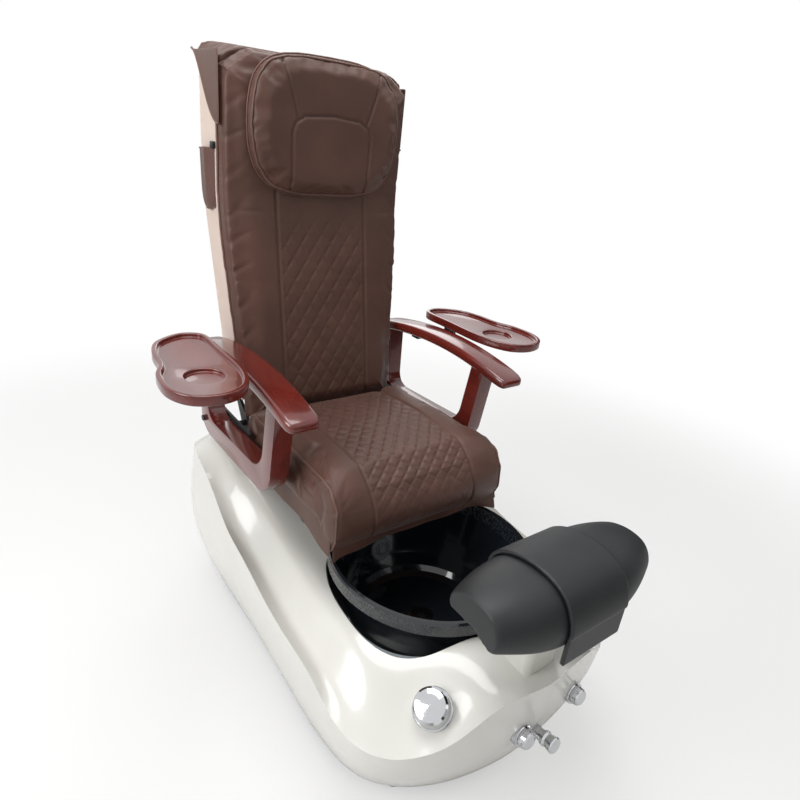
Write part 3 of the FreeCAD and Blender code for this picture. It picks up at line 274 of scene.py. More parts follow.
def mirrored(piece: bpy.types.Object, name: str) -> bpy.types.Object:
    """Makes the other hand of a piece."""
    twin = copy_of(piece, name)
    rows = points(twin)
    rows[:, 0] *= -1
    set_points(twin, rows)
    with editing(twin):
        bpy.ops.mesh.select_all(action="SELECT")
        bpy.ops.mesh.flip_normals()
    return twin


def smooth_path(corners: Sequence[Vector], steps: int, closed: bool) -> list[Vector]:
    """Draws a smooth line through a few places.

    Args:
        corners: The places it passes.
        steps: How many points each stretch gets.
        closed: Whether the line comes back to its start.

    Returns:
        The points of the line.
    """
    count = len(corners)
    stretches = count if closed else count - 1
    line = []
    for index in range(stretches):
        if closed:
            a, b, c, d = (corners[(index + shift) % count] for shift in (-1, 0, 1, 2))
        else:
            a, b, c, d = (corners[min(max(index + shift, 0), count - 1)] for shift in (-1, 0, 1, 2))
        for step in range(steps):
            t = step / steps
            line.append(0.5 * (2 * b + (c - a) * t + (2 * a - 5 * b + 4 * c - d) * t**2
                               + (3 * b - a - 3 * c + d) * t**3))
    if not closed:
        line.append(corners[-1].copy())
    return line


def laid_on(piece: bpy.types.Object, line: Sequence[Vector], proud: float) -> list[Vector]:
    """Moves the points of a line onto the surface of a piece.

    Args:
        piece: The piece under the line.
        line: Points near the surface.
        proud: How far the line stands off the surface.

    Returns:
        The moved points.
    """
    laid = []
    for point in line:
        _, place, normal, _ = piece.closest_point_on_mesh(point)
        laid.append(place + normal * proud)
    return laid


def cord(name: str, line: Sequence[Vector], radius: float, closed: bool) -> bpy.types.Object:
    """Makes a round sewn piping along a line.

    Args:
        name: The piece's name.
        line: The points it follows.
        radius: The piping's radius.
        closed: Whether it comes back to its start.

    Returns:
        The piping.
    """
    bpy.ops.object.select_all(action="DESELECT")
    bpy.ops.mesh.primitive_circle_add(vertices=len(line), fill_type="NOTHING")
    piece = name_active(name)
    for vertex, point in zip(piece.data.vertices, line):
        vertex.co = point
    piece.data.update()
    if not closed:
        middle = (line[0] + line[-1]) / 2
        pick(piece, Select.EDGES, lambda place: (place - middle).length < 1e-6)
        with editing(piece, Select.EDGES):
            bpy.ops.mesh.delete(type="EDGE")
    hold(piece)
    bpy.ops.object.convert(target="CURVE")
    piece = bpy.context.active_object
    piece.data.bevel_depth = radius
    piece.data.bevel_resolution = 2
    piece.data.use_fill_caps = True
    bpy.ops.object.convert(target="MESH")
    piece = name_active(name)
    smooth(piece, 70)
    return piece


def groove(distance: np.ndarray, width: float) -> np.ndarray:
    """The share of a seam's full depth at a distance from it."""
    return np.exp(-((distance / width) ** 2))


def ramp(values: np.ndarray, low: float, high: float) -> np.ndarray:
    """Rises smoothly from 0 at one value to 1 at another."""
    share = np.clip((values - low) / (high - low), 0, 1)
    return share * share * (3 - 2 * share)


def to_path(u: np.ndarray, v: np.ndarray, path: Sequence[tuple[float, float]]) -> np.ndarray:
    """The distance of each point from a line of straight runs.

    Args:
        u: First coordinates.
        v: Second coordinates.
        path: The line's corners.

    Returns:
        The distances.
    """
    nearest = np.full(u.shape, 1e3)
    for (u0, v0), (u1, v1) in zip(path, path[1:]):
        run = np.array((u1 - u0, v1 - v0))
        share = np.clip(((u - u0) * run[0] + (v - v0) * run[1]) / (run @ run), 0, 1)
        away = np.hypot(u - u0 - share * run[0], v - v0 - share * run[1])
        nearest = np.minimum(nearest, away)
    return nearest


def quilt(u: np.ndarray, v: np.ndarray, wide: float, long: float) -> np.ndarray:
    """The share of a quilt's depth: 1 on its diagonal seams and 0 in the middle of a diamond.

    Args:
        u: Coordinates across.
        v: Coordinates along.
        wide: A diamond's width.
        long: A diamond's length.

    Returns:
        The shares.
    """
    pitch = 1 / math.hypot(1 / wide, 1 / long)
    deep = np.zeros(u.shape)
    for hand in (1, -1):
        cells = u / wide + hand * v / long
        away = np.abs(cells - np.round(cells)) * pitch
        deep = np.maximum(deep, 0.72 * groove(away, STITCH) + 0.28 * (1 - 2 * away / pitch))
    return deep


def carve(piece: bpy.types.Object, depth: Field) -> None:
    """Presses seams and channels into a padded piece.

    Args:
        piece: The piece.
        depth: Takes x, y and z and gives how far the surface goes in.
    """
    rows = points(piece)
    normals = np.empty(rows.size)
    piece.data.vertex_normals.foreach_get("vector", normals)
    rows -= normals.reshape(-1, 3) * depth(*rows.T)[:, None]
    set_points(piece, rows)


@dataclass(frozen=True)
class Stuffing:
    """How a cover is filled: its mesh size, how far it may swell, and the pressure in it."""

    voxel: float
    swell: float
    pressure: float = 4.0
    steps: int = 20

    def fill(self, piece: bpy.types.Object, held: Field) -> None:
        """Swells a closed cover like a filled cushion.

        Args:
            piece: The cover, a closed shape.
            held: Takes x, y and z and tells where the cover is held still.
        """
        apply(piece, "REMESH", mode="VOXEL", voxel_size=self.voxel)
        self.blow(piece, held)
        apply(piece, "SUBSURF", levels=1, render_levels=1)
        smooth(piece, 80)

    def blow(self, piece: bpy.types.Object, held: Field) -> None:
        """Runs the cloth and keeps each point's movement under the limit."""
        before = points(piece)
        group = piece.vertex_groups.new(name="held")
        group.add([int(index) for index in np.flatnonzero(held(*before.T))], 1.0, "REPLACE")
        modifier = piece.modifiers.new("Cloth", "CLOTH")
        modifier.settings.use_pressure = True
        modifier.settings.uniform_pressure_force = self.pressure
        modifier.settings.effector_weights.gravity = 0
        modifier.settings.vertex_group_mass = group.name
        modifier.settings.quality = 4
        modifier.point_cache.frame_end = self.steps
        for moment in range(1, self.steps + 1):
            bpy.context.scene.frame_set(moment)
        hold(piece)
        bpy.ops.object.modifier_apply(modifier=modifier.name)
        bpy.context.scene.frame_set(1)
        piece.vertex_groups.clear()
        moved = points(piece) - before
        length = np.linalg.norm(moved, axis=1, keepdims=True)
        set_points(piece, before + moved * np.minimum(1, self.swell / np.maximum(length, 1e-9)))


# ---------------------------------------------------------------- finishes


class Wire:
    """A number on its way through a finish's nodes, with Python's arithmetic."""

    def __init__(self, recipe: "Recipe", socket: bpy.types.NodeSocket) -> None:
        """Keeps the recipe and the socket that gives the number."""
        self.recipe = recipe
        self.socket = socket

    def math(self, operation: str, *values: "Wire | float") -> "Wire":
        """Adds one Math node.

        Args:
            operation: The node's operation.
            *values: Its inputs in order.

        Returns:
            The node's result.
        """
        made = self.recipe.node("ShaderNodeMath", {"operation": operation}, dict(enumerate(values)))
        return Wire(self.recipe, made.outputs[0])

    def __add__(self, other: "Wire | float") -> "Wire":
        """Adds."""
        return self.math("ADD", self, other)

    def __radd__(self, other: float) -> "Wire":
        """Adds to a plain number."""
        return self.math("ADD", other, self)

    def __sub__(self, other: "Wire | float") -> "Wire":
        """Takes away."""
        return self.math("SUBTRACT", self, other)

    def __rsub__(self, other: float) -> "Wire":
        """Takes away from a plain number."""
        return self.math("SUBTRACT", other, self)

    def __mul__(self, other: "Wire | float") -> "Wire":
        """Multiplies."""
        return self.math("MULTIPLY", self, other)

    def __rmul__(self, other: float) -> "Wire":
        """Multiplies a plain number."""
        return self.math("MULTIPLY", other, self)

    def fold(self) -> "Wire":
        """The distance to the nearest whole number."""
        return (self - self.math("ROUND", self)).math("ABSOLUTE", self - self.math("ROUND", self))

    def rise(self, low: float, high: float) -> "Wire":
        """Rises smoothly from 0 at one value to 1 at another."""
        inputs = {"Value": self, "From Min": low, "From Max": high}
        made = self.recipe.node("ShaderNodeMapRange", {"interpolation_type": "SMOOTHSTEP"}, inputs)
        return Wire(self.recipe, made.outputs[0])


class Recipe:
    """The nodes of one finish."""

    def __init__(self, name: str) -> None:
        """Starts a material with an empty shader."""
        self.material = bpy.data.materials.new(name)
        self.material.use_nodes = True
        self.tree = self.material.node_tree
        self.tree.nodes.clear()
        self.shader = self.node("ShaderNodeBsdfPrincipled")
        self.node("ShaderNodeOutputMaterial", inputs={"Surface": self.shader.outputs[0]})

    def node(self, kind: str, settings: dict[str, object] | None = None,
             inputs: dict[str | int, object] | None = None) -> bpy.types.Node:
        """Adds one node.

        Args:
            kind: The node's type.
            settings: Its settings, made first.
            inputs: The values or links of its sockets.

        Returns:
            The node.
        """
        made = self.tree.nodes.new(kind)
        for name, value in (settings or {}).items():
            setattr(made, name, value)
        self.connect(made, inputs or {})
        return made

    def connect(self, made: bpy.types.Node, inputs: dict[str | int, object]) -> None:
        """Sets or links a node's sockets."""
        for key, value in inputs.items():
            source = value.socket if isinstance(value, Wire) else value
            if isinstance(source, bpy.types.NodeSocket):
                self.tree.links.new(source, made.inputs[key])
            else:
                made.inputs[key].default_value = source

    def surface(self, **inputs: object) -> bpy.types.Material:
        """Sets the shader's sockets.

        Args:
            **inputs: Values or links, each by its socket's name with underscores for spaces.

        Returns:
            The finished material.
        """
        self.connect(self.shader, {name.replace("_", " "): value for name, value in inputs.items()})
        return self.material

    def place(self) -> bpy.types.NodeSocket:
        """The place on the object, in metres."""
        return self.node("ShaderNodeTexCoord").outputs["Object"]

    def axes(self) -> tuple[Wire, Wire, Wire]:
        """The place on the object as three numbers."""
        made = self.node("ShaderNodeSeparateXYZ", inputs={0: self.place()})
        return tuple(Wire(self, made.outputs[index]) for index in range(3))

    def cloud(self, scale: float, detail: float = 2.0, stretch: Colour = (1, 1, 1), warp: float = 0.0) -> Wire:
        """Soft irregular patches from 0 to 1.

        Args:
            scale: Patches in a metre.
            detail: How many finer layers there are.
            stretch: How much each axis is drawn together.
            warp: How far the patches are twisted.

        Returns:
            The patches.
        """
        mapped = self.node("ShaderNodeMapping", inputs={"Vector": self.place(), "Scale": stretch})
        inputs = {"Vector": mapped.outputs[0], "Scale": scale, "Detail": detail, "Distortion": warp}
        return Wire(self, self.node("ShaderNodeTexNoise", inputs=inputs).outputs[0])

    def pebbles(self, scale: float) -> Wire:
        """Small rounded cells, 0 in the middle and rising to their edges."""
        inputs = {"Vector": self.place(), "Scale": scale}
        return Wire(self, self.node("ShaderNodeTexVoronoi", inputs=inputs).outputs[0])

    def blend(self, share: "Wire | float", low: object, high: object) -> bpy.types.NodeSocket:
        """Goes from one colour to another.

        Args:
            share: 0 for the first colour and 1 for the second.
            low: The first colour.
            high: The second colour.

        Returns:
            The mixed colour.
        """
        full = [(*value, 1.0) if isinstance(value, tuple) else value for value in (low, high)]
        made = self.node("ShaderNodeMix", {"data_type": "RGBA"}, {0: share, 6: full[0], 7: full[1]})
        return made.outputs[2]

    def relief(self, height: Wire, depth: float, strength: float = 1.0) -> bpy.types.NodeSocket:
        """Turns heights into a normal.

        Args:
            height: The height from 0 to 1.
            depth: The depth of a full height, in metres.
            strength: How much of it shows.

        Returns:
            The normal.
        """
        inputs = {"Strength": strength, "Distance": depth, "Height": height}
        return self.node("ShaderNodeBump", inputs=inputs).outputs[0]


def shade(red: int, green: int, blue: int) -> Colour:
    """Turns a screen colour into light values."""
    return tuple((value / 255 / 12.92) if value <= 10 else ((value / 255 + 0.055) / 1.055) ** 2.4
                 for value in (red, green, blue))


class Finish:
    """A finish that is made once and then put on any number of pieces."""

    made: dict[str, bpy.types.Material] = {}

    def material(self) -> bpy.types.Material:
        """The finish's material, made at its first use."""
        if self.name not in Finish.made:
            Finish.made[self.name] = self.mix(Recipe(self.name))
        return Finish.made[self.name]

    def mix(self, recipe: Recipe) -> bpy.types.Material:
        """Builds the nodes."""
        raise NotImplementedError

    def dress(self, piece: bpy.types.Object) -> None:
        """Puts the finish on a new piece."""
        piece.data.materials.clear()
        piece.data.materials.append(self.material())

    def dress_node(self, *names: str) -> None:
        """Puts the finish on pieces that came with the frame."""
        for name in names:
            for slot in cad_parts[name].material_slots:
                slot.material = self.material()


@dataclass(frozen=True)
class Leather(Finish):
    """Polyurethane leather: pebble grain, soft creases and a worn sheen."""

    name: str
    dark: Colour
    light: Colour
    rough: float = 0.40
    grain: float = 1100

    def mix(self, recipe: Recipe) -> bpy.types.Material:
        """Builds the nodes."""
        patches = recipe.cloud(9, 3)
        creases = recipe.cloud(46, 4, warp=0.6)
        cells = recipe.pebbles(self.grain)
        colour = recipe.blend(patches.rise(0.2, 0.8) * 0.5 + cells * 0.25, self.dark, self.light)
        height = creases * 0.6 + (1 - cells) * 0.25
        return recipe.surface(Base_Color=colour, Roughness=self.rough + patches * 0.12 - cells * 0.05,
                              Normal=recipe.relief(height, 0.0011, 0.7), Specular_IOR_Level=0.42,
                              Sheen_Weight=0.12, Sheen_Roughness=0.4)


@dataclass(frozen=True)
class Lacquer(Finish):
    """Stained wood under a thick clear lacquer."""

    name: str
    dark: Colour
    light: Colour

    def mix(self, recipe: Recipe) -> bpy.types.Material:
        """Builds the nodes."""
        drift = recipe.cloud(5, 2, (2.2, 0.6, 2.2), 0.8)
        veins = recipe.cloud(34, 5, (3.0, 0.16, 3.0), 1.4)
        pores = recipe.cloud(420, 2, (1.0, 0.06, 1.0))
        share = veins.rise(0.28, 0.72) * 0.4 + drift.rise(0.3, 0.7) * 0.5
        stained = recipe.blend(share, self.dark, self.light)
        colour = recipe.blend(pores.rise(0.60, 0.74) * 0.07, stained,
                              tuple(0.35 * value for value in self.dark))
        waviness = recipe.cloud(22, 1)
        return recipe.surface(Base_Color=colour, Roughness=0.18 + veins * 0.04, Coat_Weight=0.6,
                              Coat_Roughness=0.05, Normal=recipe.relief(waviness, 0.0006, 0.35))


@dataclass(frozen=True)
class Gelcoat(Finish):
    """Polished white gelcoat with a faint ripple and painted shade low down."""

    name: str
    clean: Colour
    # The darker colour serves the random haze and the painted shade low down.
    worn: Colour

    def mix(self, recipe: Recipe) -> bpy.types.Material:
        """Builds the nodes."""
        _, _, height = recipe.axes()
        haze = recipe.cloud(6, 3)
        # Painted shade: the shell turns towards its darker colour below 0.12 m, where its lower skirt lies in
        # shade.
        low = (1 - height.rise(0.0, 0.12)) * 0.5
        colour = recipe.blend(haze.rise(0.45, 0.8) * 0.25 + low * haze, self.clean, self.worn)
        ripple = recipe.cloud(16, 2)
        return recipe.surface(Base_Color=colour, Roughness=0.20 + haze * 0.10, Coat_Weight=0.6,
                              Coat_Roughness=0.06, Normal=recipe.relief(ripple, 0.0009, 0.4))


@dataclass(frozen=True)
class Acrylic(Finish):
    """Deep glossy acrylic whose rim band has a pebbled skin with painted glints on its crinkles."""

    name: str
    deep: Colour
    haze_and_glint: Colour
    band_low: float
    band_high: float

    def mix(self, recipe: Recipe) -> bpy.types.Material:
        """Builds the nodes."""
        x, y, z = recipe.axes()
        haze = recipe.cloud(8, 3)
        skin = recipe.cloud(240, 4, (1, 1, 0.5))
        above = z.rise(self.band_low - 0.004, self.band_low + 0.002)
        band = above * (1 - z.rise(self.band_high, self.band_high + 0.003))
        # Painted glints: spots of the band's crinkled skin are lightened to stand for highlights on it, and the
        # same spots are rougher.
        glint_spots = band * skin.rise(0.42, 0.62)
        colour = recipe.blend(glint_spots * 0.20 + haze * 0.10, self.deep, self.haze_and_glint)
        return recipe.surface(Base_Color=colour, Roughness=0.07 + haze * 0.05 + glint_spots * 0.28, Coat_Weight=0.5,
                              Coat_Roughness=0.04, Normal=recipe.relief(skin * band, 0.0008, 0.6))


@dataclass(frozen=True)
class Plated(Finish):
    """Bright plated or drawn metal with fine smears."""

    name: str
    colour: Colour
    rough: float
    brushed: float = 0.0

    def mix(self, recipe: Recipe) -> bpy.types.Material:
        """Builds the nodes."""
        smear = recipe.cloud(60, 3)
        lines = recipe.cloud(500, 2, (1, 1, 0.04))
        tint = tuple(0.82 * value for value in self.colour)
        colour = recipe.blend(smear * 0.5 + lines * 0.5 * self.brushed, self.colour, tint)
        rough = self.rough + smear * 0.05 + lines * 0.15 * self.brushed
        return recipe.surface(Base_Color=colour, Metallic=1.0, Roughness=rough,
                              Normal=recipe.relief(lines, 0.0002, 0.2 + 0.5 * self.brushed))


@dataclass(frozen=True)
class Moulded(Finish):
    """Moulded plastic, rubber or paint with its own grain."""

    name: str
    colour: Colour
    worn: Colour
    rough: float
    grain: float
    depth: float
    coat: float = 0.0

    def mix(self, recipe: Recipe) -> bpy.types.Material:
        """Builds the nodes."""
        patches = recipe.cloud(12, 3)
        skin = recipe.cloud(self.grain, 3)
        colour = recipe.blend(patches.rise(0.35, 0.8) * 0.7 + skin * 0.2, self.colour, self.worn)
        return recipe.surface(Base_Color=colour, Roughness=self.rough + patches * 0.12, Coat_Weight=self.coat,
                              Coat_Roughness=0.12, Normal=recipe.relief(skin, self.depth, 0.6))


@dataclass(frozen=True)
class Plywood(Finish):
    """Raw plywood: long grain on its face and thin plies on its edge."""

    name: str
    pale: Colour
    dark: Colour

    def mix(self, recipe: Recipe) -> bpy.types.Material:
        """Builds the nodes."""
        _, _, z = recipe.axes()
        grain = recipe.cloud(60, 4, (2.0, 0.12, 1.0), 0.8)
        plies = (z * 500).fold().rise(0.1, 0.4)
        colour = recipe.blend(grain.rise(0.3, 0.7) * 0.7 + plies * 0.2, self.pale, self.dark)
        return recipe.surface(Base_Color=colour, Roughness=0.65 + grain * 0.1,
                              Normal=recipe.relief(grain, 0.0004))


BROWN = Leather("brown_leather", shade(74, 47, 38), shade(98, 66, 54))
TAN_EDGE = Leather("tan_piping", shade(88, 60, 51), shade(118, 86, 74), 0.36)
# Painted highlight: the rear panel and its inner piping are leather coloured pale, standing for glancing light
# on the brown cover.
PAINTED_HIGHLIGHT_LEATHER = Leather("painted_highlight_leather", shade(204, 184, 172), shade(224, 208, 198), 0.42, 900)
CHERRY = Lacquer("cherry_lacquer", shade(82, 22, 17), shade(112, 37, 28))
# The gelcoat's darker colour is random haze, and painted shade low on the shell.
WHITE_SHELL = Gelcoat("white_gelcoat", shade(219, 218, 212), shade(200, 198, 190))
# The bowl's lighter colour is faint random haze, and painted glints on the rim band.
BOWL = Acrylic("black_acrylic", shade(14, 18, 23), shade(74, 80, 88), 0.372, 0.402)
# Painted reflection: the glossy recess is coloured a lighter grey than its own dark grey, standing for the
# lamps' reflection in it.
SURROUND = Moulded("grey_gloss", shade(112, 120, 124), shade(136, 143, 147), 0.10, 30, 0.0004, 0.8)
CHROME = Plated("bright_chrome", (0.60, 0.61, 0.63), 0.06)
STEEL = Plated("drawn_steel", (0.62, 0.62, 0.61), 0.24, 1.0)
FOOT_SKIN = Moulded("black_foam_skin", shade(20, 22, 24), shade(33, 36, 38), 0.44, 700, 0.0004)
POWDER = Moulded("powder_coat", shade(34, 35, 37), shade(54, 55, 57), 0.42, 900, 0.0003)
BLACK_PLASTIC = Moulded("black_plastic", shade(20, 20, 22), shade(38, 38, 40), 0.30, 500, 0.0002)
JET_PLASTIC = Moulded("grey_jet_plastic", shade(104, 110, 114), shade(132, 138, 140), 0.32, 400, 0.0002)
PIPE_PLASTIC = Moulded("pipe_plastic", shade(196, 198, 196), shade(170, 172, 168), 0.36, 200, 0.0002)
RUBBER = Moulded("roller_rubber", shade(52, 50, 50), shade(78, 74, 72), 0.62, 600, 0.0004)
FOOT_RUBBER = Moulded("foot_rubber", shade(28, 28, 28), shade(52, 50, 48), 0.70, 500, 0.0004)
BOARD = Plywood("birch_plywood", shade(196, 160, 116), shade(150, 112, 74))


def fit(piece: bpy.types.Object, finish: Finish, body: str, slot: str, *nodes: str) -> bpy.types.Object:
    """Dresses a finished piece and puts it on its body.

    Args:
        piece: The piece.
        finish: Its finish.
        body: The body it moves with.
        slot: The material slot it would take its finish from; it is not used.
        *nodes: The frame's nodes that it stands for.

    Returns:
        The piece.
    """
    finish.dress(piece)
    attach(piece, body)
    if nodes:
        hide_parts(*nodes)
    log.info("%s: %d faces on %s", piece.name, len(piece.data.polygons), body)
    return piece


# ---------------------------------------------------------------- base


@dataclass
class Base:
    """The tub base, its bowl, the steel inside it and its fittings."""

    def build(self) -> None:
        """Dresses every node of the base and its controls."""
        WHITE_SHELL.dress_node("base_shell", "footrest_column")
        BOWL.dress_node("foot_bowl")
        # The surround's mid grey is partly a painted reflection.
        SURROUND.dress_node("bowl_surround")
        CHROME.dress_node("drain_strainer", "mixer_plate", "mixer_knob", "drain_plate", "drain_knob",
                          "air_plate",
                          "air_knob", "sprayer_collar", "sprayer_head", "mixer_valve")
        JET_PLASTIC.dress_node("jet_cover", "jet_motor")
        PIPE_PLASTIC.dress_node("drain_pipe", "drain_valve", "air_valve")
        BLACK_PLASTIC.dress_node("control_box", "power_inlet", "slide_drive")
        POWDER.dress_node("base_frame", "seat_pedestal", "footrest_socket", "footrest_post")
        STEEL.dress_node("slide_rails")
        FOOT_RUBBER.dress_node("levelling_feet")
        log.info("base dressed")


@dataclass
class Footrest:
    """The padded footrest: a tapered pad with a raised saddle over its middle."""

    grain_voxel: float = 0.004
    cut: float = 0.208
    swell: float = 0.003

    def build(self) -> None:
        """Makes the pad and the saddle."""
        for node, name in (("footrest_pad", "foot_pad"), ("footrest_saddle", "foot_saddle")):
            self.skin(node, name)

    def skin(self, node: str, name: str) -> None:
        """Foams one piece of the footrest over its node's shape.

        Args:
            node: The node it stands for.
            name: The piece's name.
        """
        piece = copy_of(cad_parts[node], name)
        with editing(piece):
            bpy.ops.mesh.select_all(action="SELECT")
            bpy.ops.mesh.remove_doubles(threshold=0.00002)
        if node == "footrest_pad":
            reshape(piece, lambda place: Vector((min(max(place.x, -self.cut), self.cut), place.y, place.z)))
        voxel = self.grain_voxel if node == "footrest_pad" else self.grain_voxel * 0.6
        apply(piece, "REMESH", mode="VOXEL", voxel_size=voxel)
        apply(piece, "SMOOTH", iterations=5, factor=SMOOTHING)
        if node == "footrest_pad":
            apply(piece, "SUBSURF", levels=1, render_levels=1)
        smooth(piece, 70)
        fit(piece, FOOT_SKIN, "footrest", "footrest_pu", node)


# ---------------------------------------------------------------- seat


@dataclass
class Seat:
    """The sliding seat: a quilted cushion with a front roll, piping and loose skirt flaps."""

    seam_x: float = 0.145
    inset: float = 0.007
    diamond_wide: float = 0.037
    diamond_long: float = 0.044
    quilt_depth: float = 0.0032
    seam_depth: float = 0.0045
    rear_reach: float = 0.016

    def __post_init__(self) -> None:
        """Reads the cushion's box."""
        self.low, self.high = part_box("seat_cushion")
        self.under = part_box("seat_board")[1].z + 0.0006

    def build(self) -> None:
        """Builds the cushion, its piping and the flaps, and dresses the seat's nodes."""
        BOARD.dress_node("seat_board")
        POWDER.dress_node("seat_frame", "arm_bracket_left", "arm_bracket_right")
        STEEL.dress_node("slide_runners")
        BLACK_PLASTIC.dress_node("slide_nut")
        cushion = self.cushion()
        self.piping(cushion)
        self.flaps()

    def profile(self, inset: float) -> list[tuple[float, float]]:
        """The cushion's side outline as pairs of y and z, drawn in by a distance."""
        front, rear = self.low.y + inset, self.high.y + self.rear_reach - inset
        top, nose = self.high.z - inset, self.low.z + inset
        return [(rear, self.under), (self.low.y + 0.086, self.under), (self.low.y + 0.082, nose + 0.012),
                (front + 0.060, nose), (front + 0.022, nose), (front, nose + 0.040),
                (front - 0.002, top - 0.062),
                (front + 0.018, top - 0.022), (front + 0.062, top - 0.003), (front + 0.250, top),
                (rear - 0.020, top - 0.016), (rear, top - 0.034)]

    def cushion(self) -> bpy.types.Object:
        """Sews and fills the cushion, then presses its seams and quilting."""
        half = self.high.x - self.inset
        outline = [Vector((-half, y, z)) for y, z in self.profile(self.inset)]
        piece = plate("seat_pad", outline)
        extrude(piece, Vector((2 * half, 0, 0)))
        round_edges(piece, 0.012, 3, 30)
        nose_back = self.low.y + 0.080
        Stuffing(0.006, 0.013).fill(piece, lambda x, y, z: (z < self.under + 0.006) & (y > nose_back))
        carve(piece, self.seams)
        carve(piece, self.quilting)
        fit(piece, BROWN, "seat", "seat_leather", "seat_cushion")
        return piece

    def seams(self, x: np.ndarray, y: np.ndarray, z: np.ndarray) -> np.ndarray:
        """Depth of the long seams and the crown of the side bolsters."""
        above = ramp(z, self.under + 0.004, self.under + 0.012)
        above = above + ramp(-y, -self.low.y - 0.070, -self.low.y - 0.050)
        outside = np.abs(x) - self.seam_x
        crown = np.clip(outside / 0.095, 0, 1)
        swell = np.sin(np.pi * crown) * 0.005 * ramp(z, self.high.z - 0.06, self.high.z - 0.02)
        cross = groove(y - (self.high.y - 0.052), 0.003) * (np.abs(x) < self.seam_x) * ramp(z, 0.54, 0.56)
        side = groove(z - (self.high.z - 0.062), 0.0028)
        side = side * ramp(np.abs(x), self.high.x - 0.012, self.high.x - 0.004)
        line = groove(outside, 0.0032)
        return self.seam_depth * np.clip(above, 0, 1) * np.maximum(line, 0.7 * cross) + 0.002 * side - swell

    def quilting(self, x: np.ndarray, y: np.ndarray, z: np.ndarray) -> np.ndarray:
        """Depth of the diamonds, deep on the top and faint over the front roll."""
        travel = y - (self.high.z - z)
        inside = ramp(self.seam_x - np.abs(x), 0.004, 0.010) * ramp(z, self.low.z + 0.02, self.low.z + 0.05)
        inside *= ramp(self.high.y - 0.052 - y, 0.003, 0.010)
        top = ramp(z, self.high.z - 0.075, self.high.z - 0.020)
        cells = quilt(x, travel, self.diamond_wide, self.diamond_long)
        return self.quilt_depth * (0.28 + 0.72 * top) * inside * cells

    def piping(self, cushion: bpy.types.Object) -> None:
        """Sews piping round both upper side edges of the cushion."""
        for side in Side:
            corners = [Vector((side.value * (self.high.x - 0.004), y, z)) for y, z in self.profile(0.003)[4:11]]
            line = laid_on(cushion, smooth_path(corners[::-1], 9, False), 0.0008)
            piece = cord(f"seat_piping_{side.word}", line, PIPING_RADIUS, False)
            fit(piece, TAN_EDGE, "seat", "seat_leather")

    def flaps(self) -> None:
        """Hangs a loose flap under each side and a skirt under the front roll."""
        low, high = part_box("seat_flaps")
        length = high.y - self.low.y - 0.030
        drop = high.z - low.z

        def hang(place: Vector) -> Vector:
            along, down = (place.x + 1) / 2, (1 - place.y) / 2
            y = self.low.y + 0.030 + along * length
            wave = 0.004 * math.sin(9 * along + 1.0) * down + 0.006 * down * (1 - along) ** 2
            fall = drop * (0.96 - 0.10 * along + 0.05 * math.sin(7 * along))
            return Vector((high.x + 0.001 + wave, y - 0.012 * down * (1 - along),
                           high.z + 0.010 - (fall + 0.004) * down))

        def drape(place: Vector) -> Vector:
            down = (1 - place.y) / 2
            fall = 0.047 + 0.014 * abs(place.x) ** 8 + 0.003 * math.sin(8 * place.x)
            y = self.low.y + 0.026 - 0.016 * down * abs(place.x) ** 4 + 0.003 * math.sin(11 * place.x) * down
            return Vector((place.x * (high.x + 0.004 * down), y, self.low.z + 0.050 - fall * down))

        skirt = fit(cloth("seat_skirt", 44, 6, drape, LEATHER_THICK), BROWN, "seat", "seat_leather")
        left = cloth("seat_flap_left", 28, 8, hang, LEATHER_THICK)
        right = mirrored(left, "seat_flap_right")
        for piece, nodes in ((left, ("seat_flaps",)), (right, ())):
            fit(piece, BROWN, "seat", "seat_leather", *nodes)


# ---------------------------------------------------------------- back


